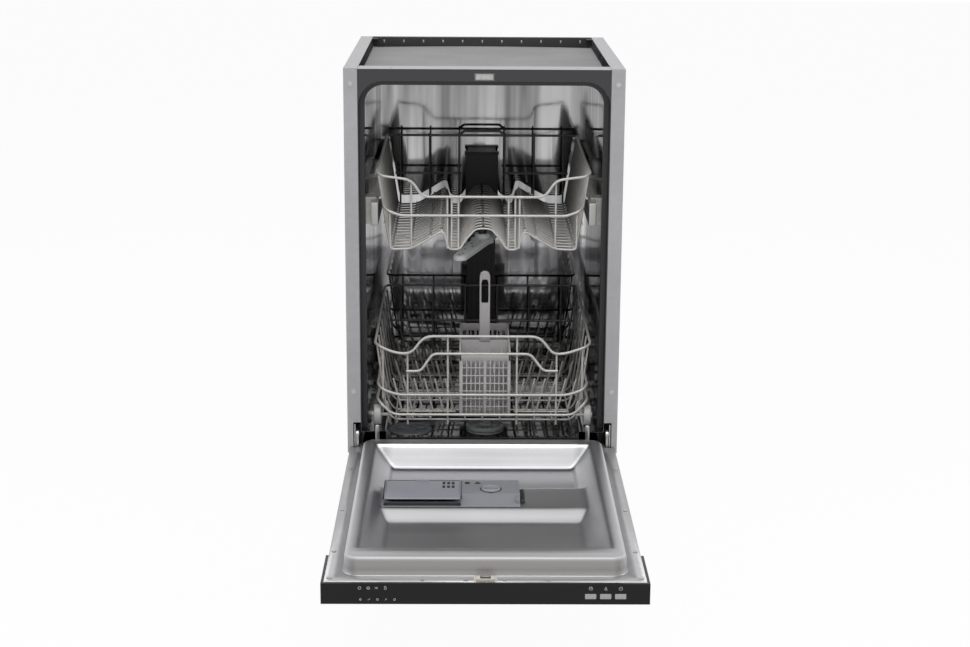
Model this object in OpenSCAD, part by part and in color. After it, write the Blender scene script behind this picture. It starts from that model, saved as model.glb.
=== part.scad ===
// Slim built-in dishwasher, 45 cm class, with its door let down and both baskets pushed in.
// +Z is up, the door opens towards -Y, and the origin is on the floor under the middle of the
// open machine. Inside the modules y = 0 is the front plane of the cabinet; placed() moves the
// whole machine back so that the open door and the cabinet balance about the origin.

/* [Cabinet] */
// Overall width
body_w = 448; // [440:1:460]
// Overall height
body_h = 815; // [805:1:840]
// Depth of the cabinet without the door
body_d = 520; // [510:1:550]
// Sheet thickness of the side panels and the rear cover
panel_t = 1.2; // [0.8:0.1:1.6]
// Width of the panels' folded edges
return_w = 22; // [18:1:23]
// Height of the panels' front lower corner above the floor
plinth_h = 176.5; // [172:0.5:180]
// Depth of the plinth recess
plinth_d = 60; // [50:1:62]

/* [Tub] */
// Sheet thickness of the tub
tub_t = 1; // [0.8:0.1:1.4]
// Space between the tub and the outside of the side panels
side_gap = 32; // [30:1:36]
// Space between the tub ceiling and the top of the cabinet
top_gap = 29; // [27:1:34]
// Space between the tub rear wall and the back of the cabinet
back_gap = 30; // [27:1:36]
// Height of the tub floor above the floor of the room
tub_floor = 186; // [184:0.5:187]
// Height of the wheel ledges along both sides
ledge_z = 213.7; // [212:0.1:214]
// Width of the wheel ledges
ledge_w = 32; // [26:1:36]
// Inner corner radius of the tub
tub_r = 31; // [20:1:36]
// How much wider the gasket seat at the mouth is, on each side
mouth_step = 8.7; // [7:0.1:10]
// Depth of the gasket seat
mouth_d = 31; // [29:0.5:34]

/* [Door] */
// Height of the hinge pins above the floor
hinge_z = 205; // [204:0.5:206]
// Distance of the hinge pins behind the front plane
hinge_y = 12.5; // [11.5:0.5:13]
// Distance of the liner's flange from the hinge pins
hinge_drop = 18.5; // [18.5:0.1:19.5]
// Thickness of the door between its panel and its flange
door_t = 30; // [27:1:32]
// Gap between the closed door's top edge and the top of the cabinet
door_top_gap = 3; // [2:0.5:6]
// Half width of the door panel
door_half_w = 220; // [216:1:220]
// Height of the raised rim above the flange
rim_h = 26.2; // [22:0.2:26.4]
// Width of the raised rim
rim_w = 21.5; // [17:0.5:24]
// Depth of the recess floor below the flange
recess_drop = 12.5; // [10:0.5:14]
// Diameter of the hinge pins
hinge_pin_d = 8; // [6:0.5:9]

/* [Dispenser and controls] */
// Width of the dispenser
dispenser_w = 208; // [190:1:212]
// Length of the dispenser along the door
dispenser_l = 87; // [80:1:90]
// How far the dispenser stands above the recess band
dispenser_rise = 13; // [9:0.5:13]
// Diameter of the rinse-aid cap
rinse_d = 29; // [24:1:32]
// Width of a push button
button_w = 15.7; // [12:0.1:17]
// Height of a push button
button_h = 8; // [6:0.5:10]
// Distance between push buttons
button_pitch = 20.4; // [19:0.2:24]
// Travel of a push button
button_travel = 1.5; // [1:0.1:2]

/* [Baskets] */
// Diameter of the baskets' frame wires
frame_wire_d = 4.6; // [4:0.1:5]
// Diameter of the baskets' thin wires
thin_wire_d = 3.5; // [3:0.1:4]
// Height of the upper basket's top wire
upper_top = 642; // [635:1:648]
// Height of the upper basket's floor
upper_floor = 515; // [512:1:520]
// Height of the lower basket's top wire
lower_top = 355; // [345:1:362]
// Height of the lower basket's floor wires
lower_floor = 226; // [225.5:0.1:228]
// Diameter of the lower basket's wheels
wheel_d = 34; // [32:0.5:34]
// Height of the telescopic rails
rail_h = 38; // [30:1:42]
// Length of the plate tines
tine_l = 58; // [40:1:60]
// Distance between the plate tines
tine_pitch = 17.5; // [16:0.1:17.8]
// Width of the cutlery basket
cutlery_w = 86; // [70:1:90]
// Length of the cutlery basket from front to back
cutlery_l = 205; // [160:5:215]
// Height of the cutlery basket's walls
cutlery_h = 110; // [90:1:115]

/* [Water parts and feet] */
// Diameter of the filter cylinder
filter_d = 66; // [50:1:68]
// Diameter of the salt cap
salt_cap_d = 75; // [64:1:76]
// Reach of the lower spray arm from its hub
lower_arm_r = 152; // [120:1:154]
// Reach of the upper spray arm from its hub
upper_arm_r = 160; // [120:1:165]
// Diameter of the feet's threaded studs
stud_d = 10; // [8:0.5:12]
// Diameter of the feet's pads
foot_d = 36; // [28:1:38]
// Outside diameter of the water inlet's thread
inlet_d = 26.4; // [20:0.2:27]
// Outside diameter of the drain spigot
drain_d = 20; // [16:1:24]

/* [Hidden] */
running_fit = 0.06;
loose_fit = 0.3;
$fn = 48;

half_w = body_w / 2;
tub_half = half_w - side_gap;
tub_top = body_h - top_gap;
tub_back = body_d - back_gap;
mouth_half = tub_half + mouth_step;
mouth_top = tub_top + mouth_step;
sill_z = tub_floor + 11;
ledge_half = tub_half - ledge_w;

door_in = hinge_z - hinge_drop;
door_out = door_in - door_t;
door_end = hinge_y + hinge_z - body_h + door_top_gap;
door_toe = hinge_y + 7.5;
door_neck = -3;
door_neck_half = mouth_half + 4;
door_skin = 1;
front_y = (-door_end - body_d) / 2;

rim_top = door_in + rim_h;
rim_half = mouth_half - 3.2;
rim_rear = -33;
rim_front = door_end + 26.5;
rim_rear_w = 29;
recess_z = door_in - recess_drop;
recess_half = rim_half - rim_w;
recess_slope = 30;
band_z = door_in + 3.5;
band_rear = -212;
band_front = -303;

// The dispenser's middle is left of the door's middle
dispenser_x = -49;
dispenser_y = -258.5;
dispenser_top = band_z + dispenser_rise;
lid_w = dispenser_w * 0.53;
lid_l = dispenser_l - 8;
lid_t = 3;
lid_x = dispenser_x - dispenser_w / 2 + lid_w / 2 + 5;
lid_hinge_y = dispenser_y + dispenser_l / 2 - 1;
rinse_x = dispenser_x + 60;
chamber_depth = 22;

rail_z = 575;
rail_out = tub_half - 8;
rail_in = rail_out - 12;
rail_front = 26;
rail_rear = tub_back - 10;
cap_t = 6;
upper_front = 31;
upper_rear = tub_back - 42;
upper_half = rail_in + 2;
upper_floor_half = upper_half - 19;
lower_front = 27;
lower_rear = tub_back - 42;
lower_half = tub_half - 13;
lower_floor_half = lower_half - 25;
wheel_z = ledge_z + loose_fit + wheel_d / 2;
wheel_x = tub_half - ledge_w / 2;
wheel_w = 12;
axle_d = 6;
wheel_front_y = lower_front + 14;
wheel_rear_y = lower_rear - 22;

arm_y = tub_back / 2 + 5;
filter_x = 5;
filter_y = 100;
salt_x = -122;
salt_y = 69;
neck_d = 50;
duct_half = 26;
duct_y = tub_back - 27;
manifold_y = duct_y - 22;
feed_z = upper_floor + 15;
upper_arm_y = 240;
upper_arm_z = upper_floor - 30;

tray_z = 20;
tray_wall = 3;
tray_h = 80;
tray_top = tray_z + tray_h;
tray_front = plinth_d + 2;
tray_rear = body_d - 22;
tray_half = half_w - 8;
foot_x = half_w - 26;
foot_front_y = tray_front + 33;
foot_rear_y = tray_rear - 18;
latch_y = door_end + 10.6;
latch_closed_z = hinge_y + hinge_z - latch_y;

steel = [0.72, 0.73, 0.74];
zinc = [0.62, 0.63, 0.64];
black = [0.10, 0.10, 0.11];
grey = [0.52, 0.53, 0.56];
pale = [0.82, 0.81, 0.79];
felt = [0.30, 0.29, 0.28];

// ---- Shapes used by several pieces ----

module placed() {
    translate([0, front_y, 0]) children();
}

module both_sides() {
    children();
    mirror([1, 0, 0]) children();
}

module box(x, y, z) {
    translate([x[0], y[0], z[0]]) cube([x[1] - x[0], y[1] - y[0], z[1] - z[0]]);
}

// An outline in x and z, from one y to another
module deep(y) {
    translate([0, y[1], 0]) rotate([90, 0, 0]) linear_extrude(y[1] - y[0]) children();
}

// An outline in y and z, from one x to another
module across(x) {
    translate([x[0], 0, 0]) rotate([90, 0, 90]) linear_extrude(x[1] - x[0]) children();
}

module rod(a, b, d) {
    span = b - a;
    length = norm(span);
    translate(a) rotate([0, acos(span[2] / length), atan2(span[1], span[0])])
        cylinder(d = d, h = length);
}

module rounded(x, y, r) {
    translate([x[0] + r, y[0]]) square([x[1] - x[0] - 2 * r, y[1] - y[0]]);
    translate([x[0], y[0] + r]) square([x[1] - x[0], y[1] - y[0] - 2 * r]);
    for (cx = [x[0] + r, x[1] - r])
        for (cy = [y[0] + r, y[1] - r])
            translate([cx, cy]) circle(r);
}

// An outline with square lower corners and round upper ones
module arched(half, bottom, top, r) {
    translate([-half, bottom]) square([2 * half, top - bottom - r]);
    translate([r - half, bottom]) square([2 * (half - r), top - bottom]);
    for (side = [-1, 1]) translate([side * (half - r), top - r]) circle(r);
}

module screw(head_d, shank_l) {
    cylinder(d = head_d, h = 1.8);
    translate([0, 0, -shank_l]) cylinder(d = head_d / 2, h = shank_l + 0.1);
}

// ---- Cabinet ----

screw_d = 8;
screw_x = half_w - 11;
screw_low_z = hinge_z + 78;
screw_high_z = body_h - 24.3;
top_screw_x = half_w - 13;
top_screw_front_y = 37;
top_screw_rear_y = body_d - 24;
hinge_notch_z = hinge_z + 24;
crossbar_t = 1.5;
crossbar_d = 46;
crossbar_web_y = 8;
rear_bar_d = 15;
rear_bar_h = 16;

module front_screw_places() {
    for (z = [screw_low_z, screw_high_z])
        translate([screw_x, 0, z]) rotate([90, 0, 0]) children();
}

module top_screw_places() {
    for (y = [top_screw_front_y, top_screw_rear_y])
        translate([top_screw_x, y, body_h - panel_t]) children();
}

module side_panel() {
    sheet = [half_w - panel_t, half_w];
    folded = [half_w - return_w, half_w];
    difference() {
        union() {
            across(sheet) polygon([
                [0, plinth_h], [0, body_h], [body_d, body_h],
                [body_d, tray_z], [plinth_d, tray_z], [plinth_d, plinth_h],
            ]);
            box(folded, [0, panel_t], [hinge_notch_z, body_h]);
            box([half_w - 9.5, half_w], [0, panel_t], [plinth_h, hinge_notch_z]);
            box(folded, [0, body_d], [body_h - panel_t, body_h]);
            box(folded, [body_d - panel_t, body_d], [tray_top + 5, body_h]);
        }
        front_screw_places() cylinder(d = screw_d / 2 + 0.4, h = 12, center = true);
        top_screw_places() cylinder(d = screw_d + 0.6, h = 6, center = true);
    }
}

module side_panel_right() {
    color(zinc) placed() side_panel();
}

module side_panel_left() {
    color(zinc) placed() mirror([1, 0, 0]) side_panel();
}

module panel_screws() {
    color(steel) placed() both_sides() {
        front_screw_places() screw(screw_d, 8);
        top_screw_places() {
            cylinder(d = screw_d, h = panel_t);
            translate([0, 0, -6]) cylinder(d = screw_d / 2, h = 6.1);
        }
    }
}

module front_crossbar() {
    plate_top = body_h - panel_t;
    tub_flange_rear = panel_t + tub_t;
    color(zinc) placed() difference() {
        union() {
            box([-half_w + 2 * panel_t, half_w - 2 * panel_t], [tub_flange_rear, crossbar_d],
                [plate_top - crossbar_t, plate_top]);
            box([-worktop_hole_x - 20, worktop_hole_x + 20],
                [crossbar_web_y, crossbar_web_y + crossbar_t],
                [mouth_top + tub_t, plate_top]);
        }
        both_sides() {
            top_screw_places() cylinder(d = screw_d / 2 + 0.4, h = 8, center = true);
            translate([worktop_hole_x, worktop_hole_y, plate_top])
                cylinder(d = worktop_hole_d, h = 8, center = true);
        }
    }
}

worktop_hole_x = 150;
worktop_hole_y = 24;
worktop_hole_d = 4.5;

module rear_crossbar() {
    bar = [-half_w + return_w + 0.2, half_w - return_w - 0.2];
    bottom = body_h - rear_bar_h;
    front = body_d - rear_bar_d;
    tab_top = body_h - panel_t;
    color(black) placed() difference() {
        union() {
            box(bar, [front, body_d], [bottom, body_h]);
            both_sides() box([bar[1] - 10, half_w - 2 * panel_t],
                [top_screw_rear_y - 8, body_d - panel_t], [tab_top - crossbar_t, tab_top]);
        }
        box([bar[0] + 2, bar[1] - 2], [front + 2, body_d + 1], [bottom - 1, body_h - 2]);
        both_sides() top_screw_places() cylinder(d = screw_d / 2 + 0.4, h = 8, center = true);
    }
}

module rear_cover() {
    edge = half_w - return_w - 0.2;
    color(zinc) placed() box([-edge, edge], [body_d - panel_t, body_d],
        [tray_top + 5, body_h - rear_bar_h - 0.3]);
}

module striker_plate() {
    color(steel) placed() box([-14, 14], [crossbar_web_y - 2.5, crossbar_web_y],
        [latch_closed_z - 4.5, latch_closed_z + 4.5]);
}

module top_insulation() {
    top = body_h - rear_bar_h;
    half = tub_half + 8;
    front = mouth_d + tub_t + 1;
    rear = body_d - rear_bar_d - 2;
    bow = 22;
    bow_r = (half * half + bow * bow) / (2 * bow);
    color(felt) placed()
        translate([0, 0, tub_top + tub_t]) linear_extrude(top - tub_top - tub_t) difference() {
            intersection() {
                translate([-half, front]) square([2 * half, rear - front]);
                translate([0, rear - bow_r]) circle(bow_r, $fn = 180);
            }
            translate([tub_half - 27, front - 1]) square([60, 28]);
        }
}

module side_insulation() {
    inner = tub_half + tub_t;
    color(felt) placed() both_sides()
        box([inner, inner + 12], [mouth_d + 30, tub_back - 12], [hinge_notch_z + 6, tub_top - 11]);
}

module air_break() {
    outer = half_w - panel_t;
    inner = tub_half + tub_t + 12;
    color(pale) placed() across([-outer, -inner])
        rounded([120, 330], [300, 720], 18);
}

module base_tray() {
    inner = tray_half - tray_wall;
    floor_top = tray_z + tray_wall;
    rib_out = ledge_half - 6;
    color(black) placed() difference() {
        union() {
            box([-tray_half, tray_half], [tray_front, tray_rear], [tray_z, floor_top]);
            both_sides() {
                box([tray_half - 1, half_w - panel_t], [tray_front, tray_rear], [tray_z, floor_top]);
                box([inner, tray_half], [tray_front, tray_rear], [tray_z, tray_top]);
                box([rib_out - 4, rib_out], [tray_front, tray_rear], [tray_z, tub_floor - tub_t]);
            }
            box([-inner + 3, inner - 3], [tray_front, tray_front + tray_wall], [tray_z, tray_top - 5]);
            box([-inner, inner], [tray_rear - tray_wall, tray_rear], [tray_z, tray_top]);
            foot_places() cylinder(d = stud_d + 14, h = tray_h);
            translate([drain_x, 0, connector_z]) rotate([-90, 0, 0])
                translate([0, 0, tray_rear - 1]) cylinder(d = drain_d, h = body_d - tray_rear);
        }
        foot_places() translate([0, 0, -1]) cylinder(d = stud_d + 2 * running_fit, h = tray_h + 2);
        translate([drain_x, tray_rear - 10, connector_z]) rotate([-90, 0, 0])
            cylinder(d = drain_d - 5, h = 40);
        translate([inlet_x, tray_rear - 10, connector_z]) rotate([-90, 0, 0])
            cylinder(d = inlet_d + 1.2, h = 12);
        translate([gland_x, tray_rear - 10, connector_z]) rotate([-90, 0, 0])
            cylinder(d = gland_d, h = 12);
    }
}

drain_x = 99 - half_w;
inlet_x = half_w - 99;
gland_x = 30;
gland_d = 18;
gland_bore_d = 8.4;
connector_z = tray_z + 40;

module foot_places() {
    for (x = [-foot_x, foot_x])
        for (y = [foot_front_y, foot_rear_y]) translate([x, y, tray_z]) children();
}

module foot(x, y) {
    pad_h = 8;
    color(black) placed() translate([x, y, 0]) {
        cylinder(d = foot_d, h = pad_h);
        cylinder(d = stud_d, h = pad_h + tray_h);
    }
}

module foot_front_left() { foot(-foot_x, foot_front_y); }
module foot_front_right() { foot(foot_x, foot_front_y); }
module foot_rear_left() { foot(-foot_x, foot_rear_y); }
module foot_rear_right() { foot(foot_x, foot_rear_y); }

module base_front_cover() {
    half = tray_half - tray_wall - 3;
    color(black) placed() box([-half, half], [tray_front - 1.5, tray_front], [tray_z + 4, plinth_h - 26]);
}

module hinge_brackets() {
    outer = tray_half - tray_wall;
    foot_z = tray_top - 30;
    color(steel) placed() both_sides() {
        across([outer - 2, outer]) polygon([
            [2.5, hinge_z - 50], [2.5, hinge_z + 20], [30, hinge_z + 20], [60, hinge_z - 50],
            [120, tray_top], [120, foot_z], [75, foot_z], [40, hinge_z - 90],
        ]);
        across([outer - 7.5, outer - 1]) translate([hinge_y, hinge_z]) circle(d = hinge_pin_d);
    }
}

// ---- Tub ----

module tub_section(grow) {
    arched(tub_half + grow, ledge_z - grow, tub_top + grow, tub_r + grow);
    translate([-ledge_half - grow, tub_floor - grow])
        square([2 * (ledge_half + grow), ledge_z + 1 - tub_floor]);
}

module mouth_section(grow) {
    arched(mouth_half + grow, ledge_z - grow, mouth_top + grow, tub_r + mouth_step + grow);
    translate([-ledge_half - grow, sill_z - grow])
        square([2 * (ledge_half + grow), ledge_z + 1 - sill_z]);
}

module tub() {
    flange_top = body_h - 1;
    flange_half = half_w - return_w;
    color(steel) placed() difference() {
        union() {
            deep([0, mouth_d + tub_t]) mouth_section(tub_t);
            deep([mouth_d - tub_t, tub_back + tub_t]) tub_section(tub_t);
            box([-flange_half, flange_half], [0, tub_t], [mouth_top - 60, flange_top]);
            both_sides() box([mouth_half + 0.2, half_w - 3], [panel_t, panel_t + tub_t],
                [hinge_notch_z + 3, flange_top - 1]);
        }
        deep([-1, mouth_d]) mouth_section(0);
        deep([mouth_d - 10, mouth_d + 10]) intersection() {
            mouth_section(0);
            tub_section(0);
        }
        deep([mouth_d, tub_back]) tub_section(0);
        box([-16, 16], [-1, 2 * tub_t], [mouth_top + tub_t, latch_closed_z + 6.5]);
        both_sides() front_screw_places() cylinder(d = screw_d / 2 + 0.4, h = 12, center = true);
        translate([filter_x, filter_y, tub_floor]) cylinder(d = filter_d + 2, h = 6, center = true);
        translate([0, arm_y, tub_floor]) cylinder(d = 32, h = 6, center = true);
        translate([salt_x, salt_y, tub_floor]) cylinder(d = neck_d + 1, h = 6, center = true);
        translate([0, duct_y + 13, tub_floor]) cylinder(d = 20, h = 6, center = true);
    }
}

module door_gasket() {
    clear = loose_fit;
    depth = 10.4;
    color(black) placed() deep([mouth_d - depth, mouth_d]) difference() {
        arched(mouth_half - clear, ledge_z + clear, mouth_top - clear, tub_r + mouth_step - clear);
        translate([0, -10]) arched(tub_half + clear, ledge_z, tub_top + clear + 10, tub_r + clear);
    }
}

// The lip under the sill, bent round the hinge line
module bottom_seal() {
    outer = hinge_drop - loose_fit;
    half = ledge_half - 2;
    color(black) placed() {
        across([-half, half]) translate([hinge_y, hinge_z]) intersection() {
            difference() {
                circle(outer);
                circle(outer - 2);
            }
            translate([-outer - 1, -outer - 1]) square([outer + 1, outer + 1]);
        }
        box([-half, half], [hinge_y - outer + 3.2, 0], [sill_z - 2, sill_z]);
    }
}

module feed_duct() {
    color(black) placed() difference() {
        union() {
            box([-duct_half, duct_half], [duct_y, tub_back], [tub_floor, feed_z + 80]);
            box([-duct_half - 4, duct_half + 4], [manifold_y, duct_y + 1], [feed_z - 16, feed_z + 79]);
        }
        box([-duct_half + 2, duct_half - 2], [duct_y + 3, tub_back - 2], [tub_floor - 1, feed_z + 76]);
        translate([0, manifold_y - 1, feed_z]) rotate([-90, 0, 0]) cylinder(d = 16, h = 30);
    }
}

module filter_plate() {
    salt_clear = salt_x + salt_cap_d / 2 + 5;
    color(steel) placed() translate([0, 0, tub_floor]) linear_extrude(1) difference() {
        translate([salt_clear, mouth_d + 6])
            square([ledge_half - 8 - salt_clear, arm_y - 24 - mouth_d - 6]);
        translate([filter_x, filter_y]) circle(d = filter_d + 2);
    }
}

module rail_guides() {
    reach = rail_h / 2 + 0.4;
    color(grey) placed() both_sides() for (y = [rail_front + 34, rail_rear - 230]) difference() {
        box([rail_in + 4, tub_half], [y, y + 30], [rail_z - reach - 3, rail_z + reach + 3]);
        box([rail_in + 3, rail_out + 0.4], [y - 1, y + 31], [rail_z - reach, rail_z + reach]);
    }
}

// ---- Water parts under the tub floor ----

sump_z = tray_top;
arm_post_d = 16;
arm_post_top = tub_floor + 30;

module sump() {
    wall = 2.6;
    pit_d = filter_d + 2 * loose_fit;
    side = pit_d / 2 + wall;
    top = tub_floor - tub_t;
    color(black) placed() difference() {
        union() {
            translate([0, 0, sump_z]) linear_extrude(top - sump_z) {
                translate([filter_x, filter_y]) circle(side);
                translate([0, arm_y]) circle(side);
                translate([filter_x - side, filter_y]) square([2 * side - 5, arm_y - filter_y]);
            }
            translate([0, arm_y, 0]) {
                translate([0, 0, top - 10]) cylinder(d = 30, h = 14);
                translate([0, 0, top - 10]) cylinder(d = arm_post_d, h = arm_post_top - top + 10);
            }
        }
        translate([filter_x, filter_y, sump_z + 4]) cylinder(d = pit_d, h = top);
        box([filter_x - side + 4, filter_x + side - 9], [filter_y, arm_y + 12], [sump_z + 4, top - 14]);
    }
}

module wash_pump() {
    pump_x = sump_side_x + 52;
    color(grey) placed() {
        translate([pump_x, arm_y - 70, sump_z + 12]) rotate([-90, 0, 0]) cylinder(d = 70, h = 110);
        rod([sump_side_x, arm_y - 15, sump_z + 20], [pump_x, arm_y - 15, sump_z + 20], 22);
        box([pump_x - 10, pump_x + 10], [arm_y - 55, arm_y + 25], [tray_z + tray_wall, sump_z]);
    }
}

// The flat right-hand side of the sump
sump_side_x = filter_x + filter_d / 2 + loose_fit + 2.6 - 5;

module drain_pump() {
    color(black) placed() translate([0, arm_y - 80, 0]) {
        translate([0, -35, sump_z - 32]) rotate([-90, 0, 0]) cylinder(d = 50, h = 70);
        translate([0, 0, sump_z - 20]) cylinder(d = 20, h = 20);
        box([-12, 12], [-25, 25], [tray_z + tray_wall, sump_z - 40]);
    }
}

module heater() {
    heater_x = -95;
    side_x = filter_x - filter_d / 2 - loose_fit - 2.6;
    color(steel) placed() {
        translate([heater_x, arm_y - 50, sump_z + 15]) rotate([-90, 0, 0]) cylinder(d = 44, h = 130);
        rod([heater_x, arm_y - 38, sump_z + 20], [side_x, arm_y - 38, sump_z + 20], 18);
        box([heater_x - 8, heater_x + 8], [arm_y - 35, arm_y + 50], [tray_z + tray_wall, sump_z]);
    }
}

module salt_tank() {
    right = salt_x + 40;
    color(pale) placed() difference() {
        union() {
            box([-ledge_half + 10, right], [tray_front + 3, arm_y - 70],
                [tray_z + tray_wall, tub_floor - 30]);
            translate([salt_x, salt_y, tub_floor - 34]) cylinder(d = neck_d, h = 42);
        }
        box([-ledge_half + 13, right - 3], [tray_front + 6, arm_y - 73], [tray_z + 6, tub_floor - 33]);
        translate([salt_x, salt_y, tub_floor - 35]) cylinder(d = neck_d - 10, h = 50);
    }
}

module salt_cap() {
    seat = tub_floor + 8;
    skirt_z = tub_floor + 1;
    color(grey) placed() translate([salt_x, salt_y, 0]) difference() {
        union() {
            translate([0, 0, seat + loose_fit]) cylinder(d = salt_cap_d, h = 3);
            translate([0, 0, skirt_z]) cylinder(d = neck_d + 10, h = seat + 1 - skirt_z);
        }
        translate([0, 0, skirt_z - 1])
            cylinder(d = neck_d + 2 * running_fit, h = seat + loose_fit - skirt_z + 1);
    }
}

module filter_cylinder() {
    top = tub_floor + 11;
    grip_h = 4;
    color(grey) placed() translate([filter_x, filter_y, 0]) {
        difference() {
            translate([0, 0, sump_z + 4 + loose_fit])
                cylinder(d = filter_d, h = top - sump_z - 4 - loose_fit);
            translate([0, 0, sump_z + 8]) cylinder(d = filter_d - 6, h = top);
        }
        translate([0, 0, sump_z + 4 + loose_fit]) cylinder(d = 24, h = top - sump_z - 4);
        for (turn = [0, 60, 120]) rotate(turn)
            box([-filter_d / 2 + 1, filter_d / 2 - 1], [-1.5, 1.5], [top - 14, top - 1]);
        box([-4, 4], [-15, 15], [top - 5, top + grip_h]);
    }
}

module inlet_valve() {
    color(pale) placed() {
        box([inlet_x - 22, inlet_x + 22], [tray_rear - 60, tray_rear - tray_wall - loose_fit],
            [tray_z + tray_wall, connector_z + 18]);
        translate([inlet_x, 0, connector_z]) rotate([-90, 0, 0])
            translate([0, 0, tray_rear - 10]) cylinder(d = inlet_d, h = body_d - tray_rear + 10);
    }
}

module cable_gland() {
    color(black) placed() translate([gland_x, 0, connector_z]) rotate([-90, 0, 0]) difference() {
        union() {
            translate([0, 0, tray_rear]) cylinder(d = gland_d + 6, h = 4);
            translate([0, 0, tray_rear - 8]) cylinder(d = gland_d - 2 * loose_fit, h = 20);
        }
        translate([0, 0, tray_rear - 9]) cylinder(d = gland_bore_d, h = 30);
    }
}

// ---- Spray arms ----

module spray_arm(reach, thickness, hub_d) {
    linear_extrude(thickness) {
        for (turn = [0, 180]) rotate(turn) {
            polygon([[0, -hub_d / 2 + 1], [reach - 12, -12], [reach - 12, 12], [0, hub_d / 2 - 1]]);
            translate([reach - 12, 0]) circle(12);
        }
        circle(d = hub_d + 6);
    }
}

module lower_spray_arm() {
    top = arm_post_top + 3;
    color(grey) placed() translate([0, arm_y, 0]) difference() {
        union() {
            translate([0, 0, top - 11]) rotate(12) spray_arm(lower_arm_r, 9, 34);
            translate([0, 0, top - 14]) cylinder(d = 30, h = 14);
        }
        translate([0, 0, top - 20]) cylinder(d = arm_post_d + 2 * running_fit, h = 17 + loose_fit);
    }
}

module upper_spray_arm() {
    post_d = 14;
    color(grey) placed() translate([0, upper_arm_y, upper_arm_z]) difference() {
        union() {
            rotate(75) spray_arm(upper_arm_r, 10, 34);
            cylinder(d = 30, h = 16);
        }
        translate([0, 0, 4]) cylinder(d = post_d + 2 * running_fit, h = 20);
    }
}

module upper_feed_tube() {
    post_d = 14;
    tube_d = 18;
    docking_y = manifold_y - loose_fit;
    color(black) placed() {
        rod([0, upper_arm_y, feed_z], [0, docking_y, feed_z], tube_d);
        rod([0, docking_y - 4, feed_z], [0, docking_y, feed_z], 28);
        translate([0, upper_arm_y, upper_arm_z + 4 + loose_fit])
            cylinder(d = post_d, h = feed_z - upper_arm_z);
    }
}

// ---- Door, lying open; +Z is the side that faces the tub when it is shut ----

strip_t = 5;
rim_front_w = 40;
rim_r = 24;
flange_screw_d = 7;
flange_screw_x = door_half_w - 6.4;
arm_in = door_neck_half + 1.3;
arm_out = arm_in + 4;

module door_outline(inset) {
    front = door_end + strip_t;
    translate([-door_half_w + inset, front + inset])
        square([2 * (door_half_w - inset), door_neck - front - 2 * inset]);
    translate([-door_neck_half + inset, door_neck - 2])
        square([2 * (door_neck_half - inset), door_toe - door_neck + 2 - inset]);
}

module rim_outline(grow) {
    rounded([-rim_half - grow, rim_half + grow], [rim_front - grow, rim_rear + grow], rim_r + grow);
}

module flange_screw_places() {
    for (y = [door_end + 17.5, door_end + 116.5, door_end + 286.5, rim_rear - 80])
        for (x = [-flange_screw_x, flange_screw_x]) translate([x, y, door_in]) children();
    for (x = [-86, -27, 27, 86]) translate([x, door_end + 11, door_in]) children();
}

// The hollow pressed into the liner: its floor and band seen from the side, between sloping walls
module recess(grow) {
    front = rim_front + rim_front_w - grow;
    rear = rim_rear - rim_rear_w + grow;
    floor_z = recess_z - grow;
    half = recess_half + grow;
    intersection() {
        across([-half, half]) polygon([
            [rear, rim_top + 1], [rear, rim_top], [rear - 17, floor_z],
            [band_rear + 7 - 0.65 * grow, floor_z], [band_rear - 0.65 * grow, band_z - grow],
            [band_front + 0.3 * grow, band_z - grow], [band_front - 27 + 0.3 * grow, floor_z],
            [front + 8, floor_z], [front, rim_top], [front, rim_top + 1],
        ]);
        deep([front, rear]) polygon([
            [half, rim_top + 1], [half, rim_top], [half - recess_slope, floor_z],
            [recess_slope - half, floor_z], [-half, rim_top], [-half, rim_top + 1],
        ]);
    }
}

module door_liner() {
    t = door_skin;
    color(steel) placed() difference() {
        union() {
            translate([0, 0, door_in - t]) linear_extrude(t) difference() {
                door_outline(0);
                rim_outline(-t);
            }
            translate([0, 0, door_in - t]) linear_extrude(rim_h + t) difference() {
                rim_outline(0);
                rim_outline(-t);
            }
            translate([0, 0, rim_top - t]) linear_extrude(t) rim_outline(-t / 2);
            intersection() {
                recess(t);
                box([-rim_half, rim_half], [rim_front, rim_rear], [door_out, rim_top]);
            }
        }
        recess(0);
        box([dispenser_x - dispenser_w / 2 + 3, dispenser_x + dispenser_w / 2 - 3],
            [dispenser_y - dispenser_l / 2 + 3, dispenser_y + dispenser_l / 2 - 3],
            [recess_z, band_z + 5]);
        box([-14, 14], [latch_y - 5.7, latch_y + 5.7], [door_in - 5, door_in + 5]);
        flange_screw_places() cylinder(d = flange_screw_d / 2 + 0.4, h = 6, center = true);
    }
}

module door_screws() {
    color(steel) placed() flange_screw_places() screw(flange_screw_d, 8);
}

module door_outer_panel() {
    t = door_skin;
    color(zinc) placed() difference() {
        union() {
            translate([0, 0, door_out]) linear_extrude(t) door_outline(0);
            translate([0, 0, door_out]) linear_extrude(door_t - t) difference() {
                door_outline(0);
                door_outline(t);
            }
        }
        both_sides() box([arm_in - 0.5, arm_out + 0.5], [door_neck - 4, door_neck + 4],
            [door_out + t, door_in]);
        box([t - door_half_w, door_half_w - t], [door_end, door_end + strip_t + 2 * t],
            [door_out + t, door_in]);
        for (x = [-front_hole_x, front_hole_x])
            for (y = [front_hole_rear_y, front_hole_rear_y - front_hole_span])
                translate([x, y, door_out]) cylinder(d = 5, h = 6, center = true);
    }
}

front_hole_x = 150;
front_hole_rear_y = -110;
front_hole_span = 360;

module door_insulation() {
    bottom = door_out + door_skin;
    color(felt) placed() box([-door_neck_half + 8, door_neck_half - 8],
        [rim_front + 60, rim_rear], [bottom, bottom + 3]);
}

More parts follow.
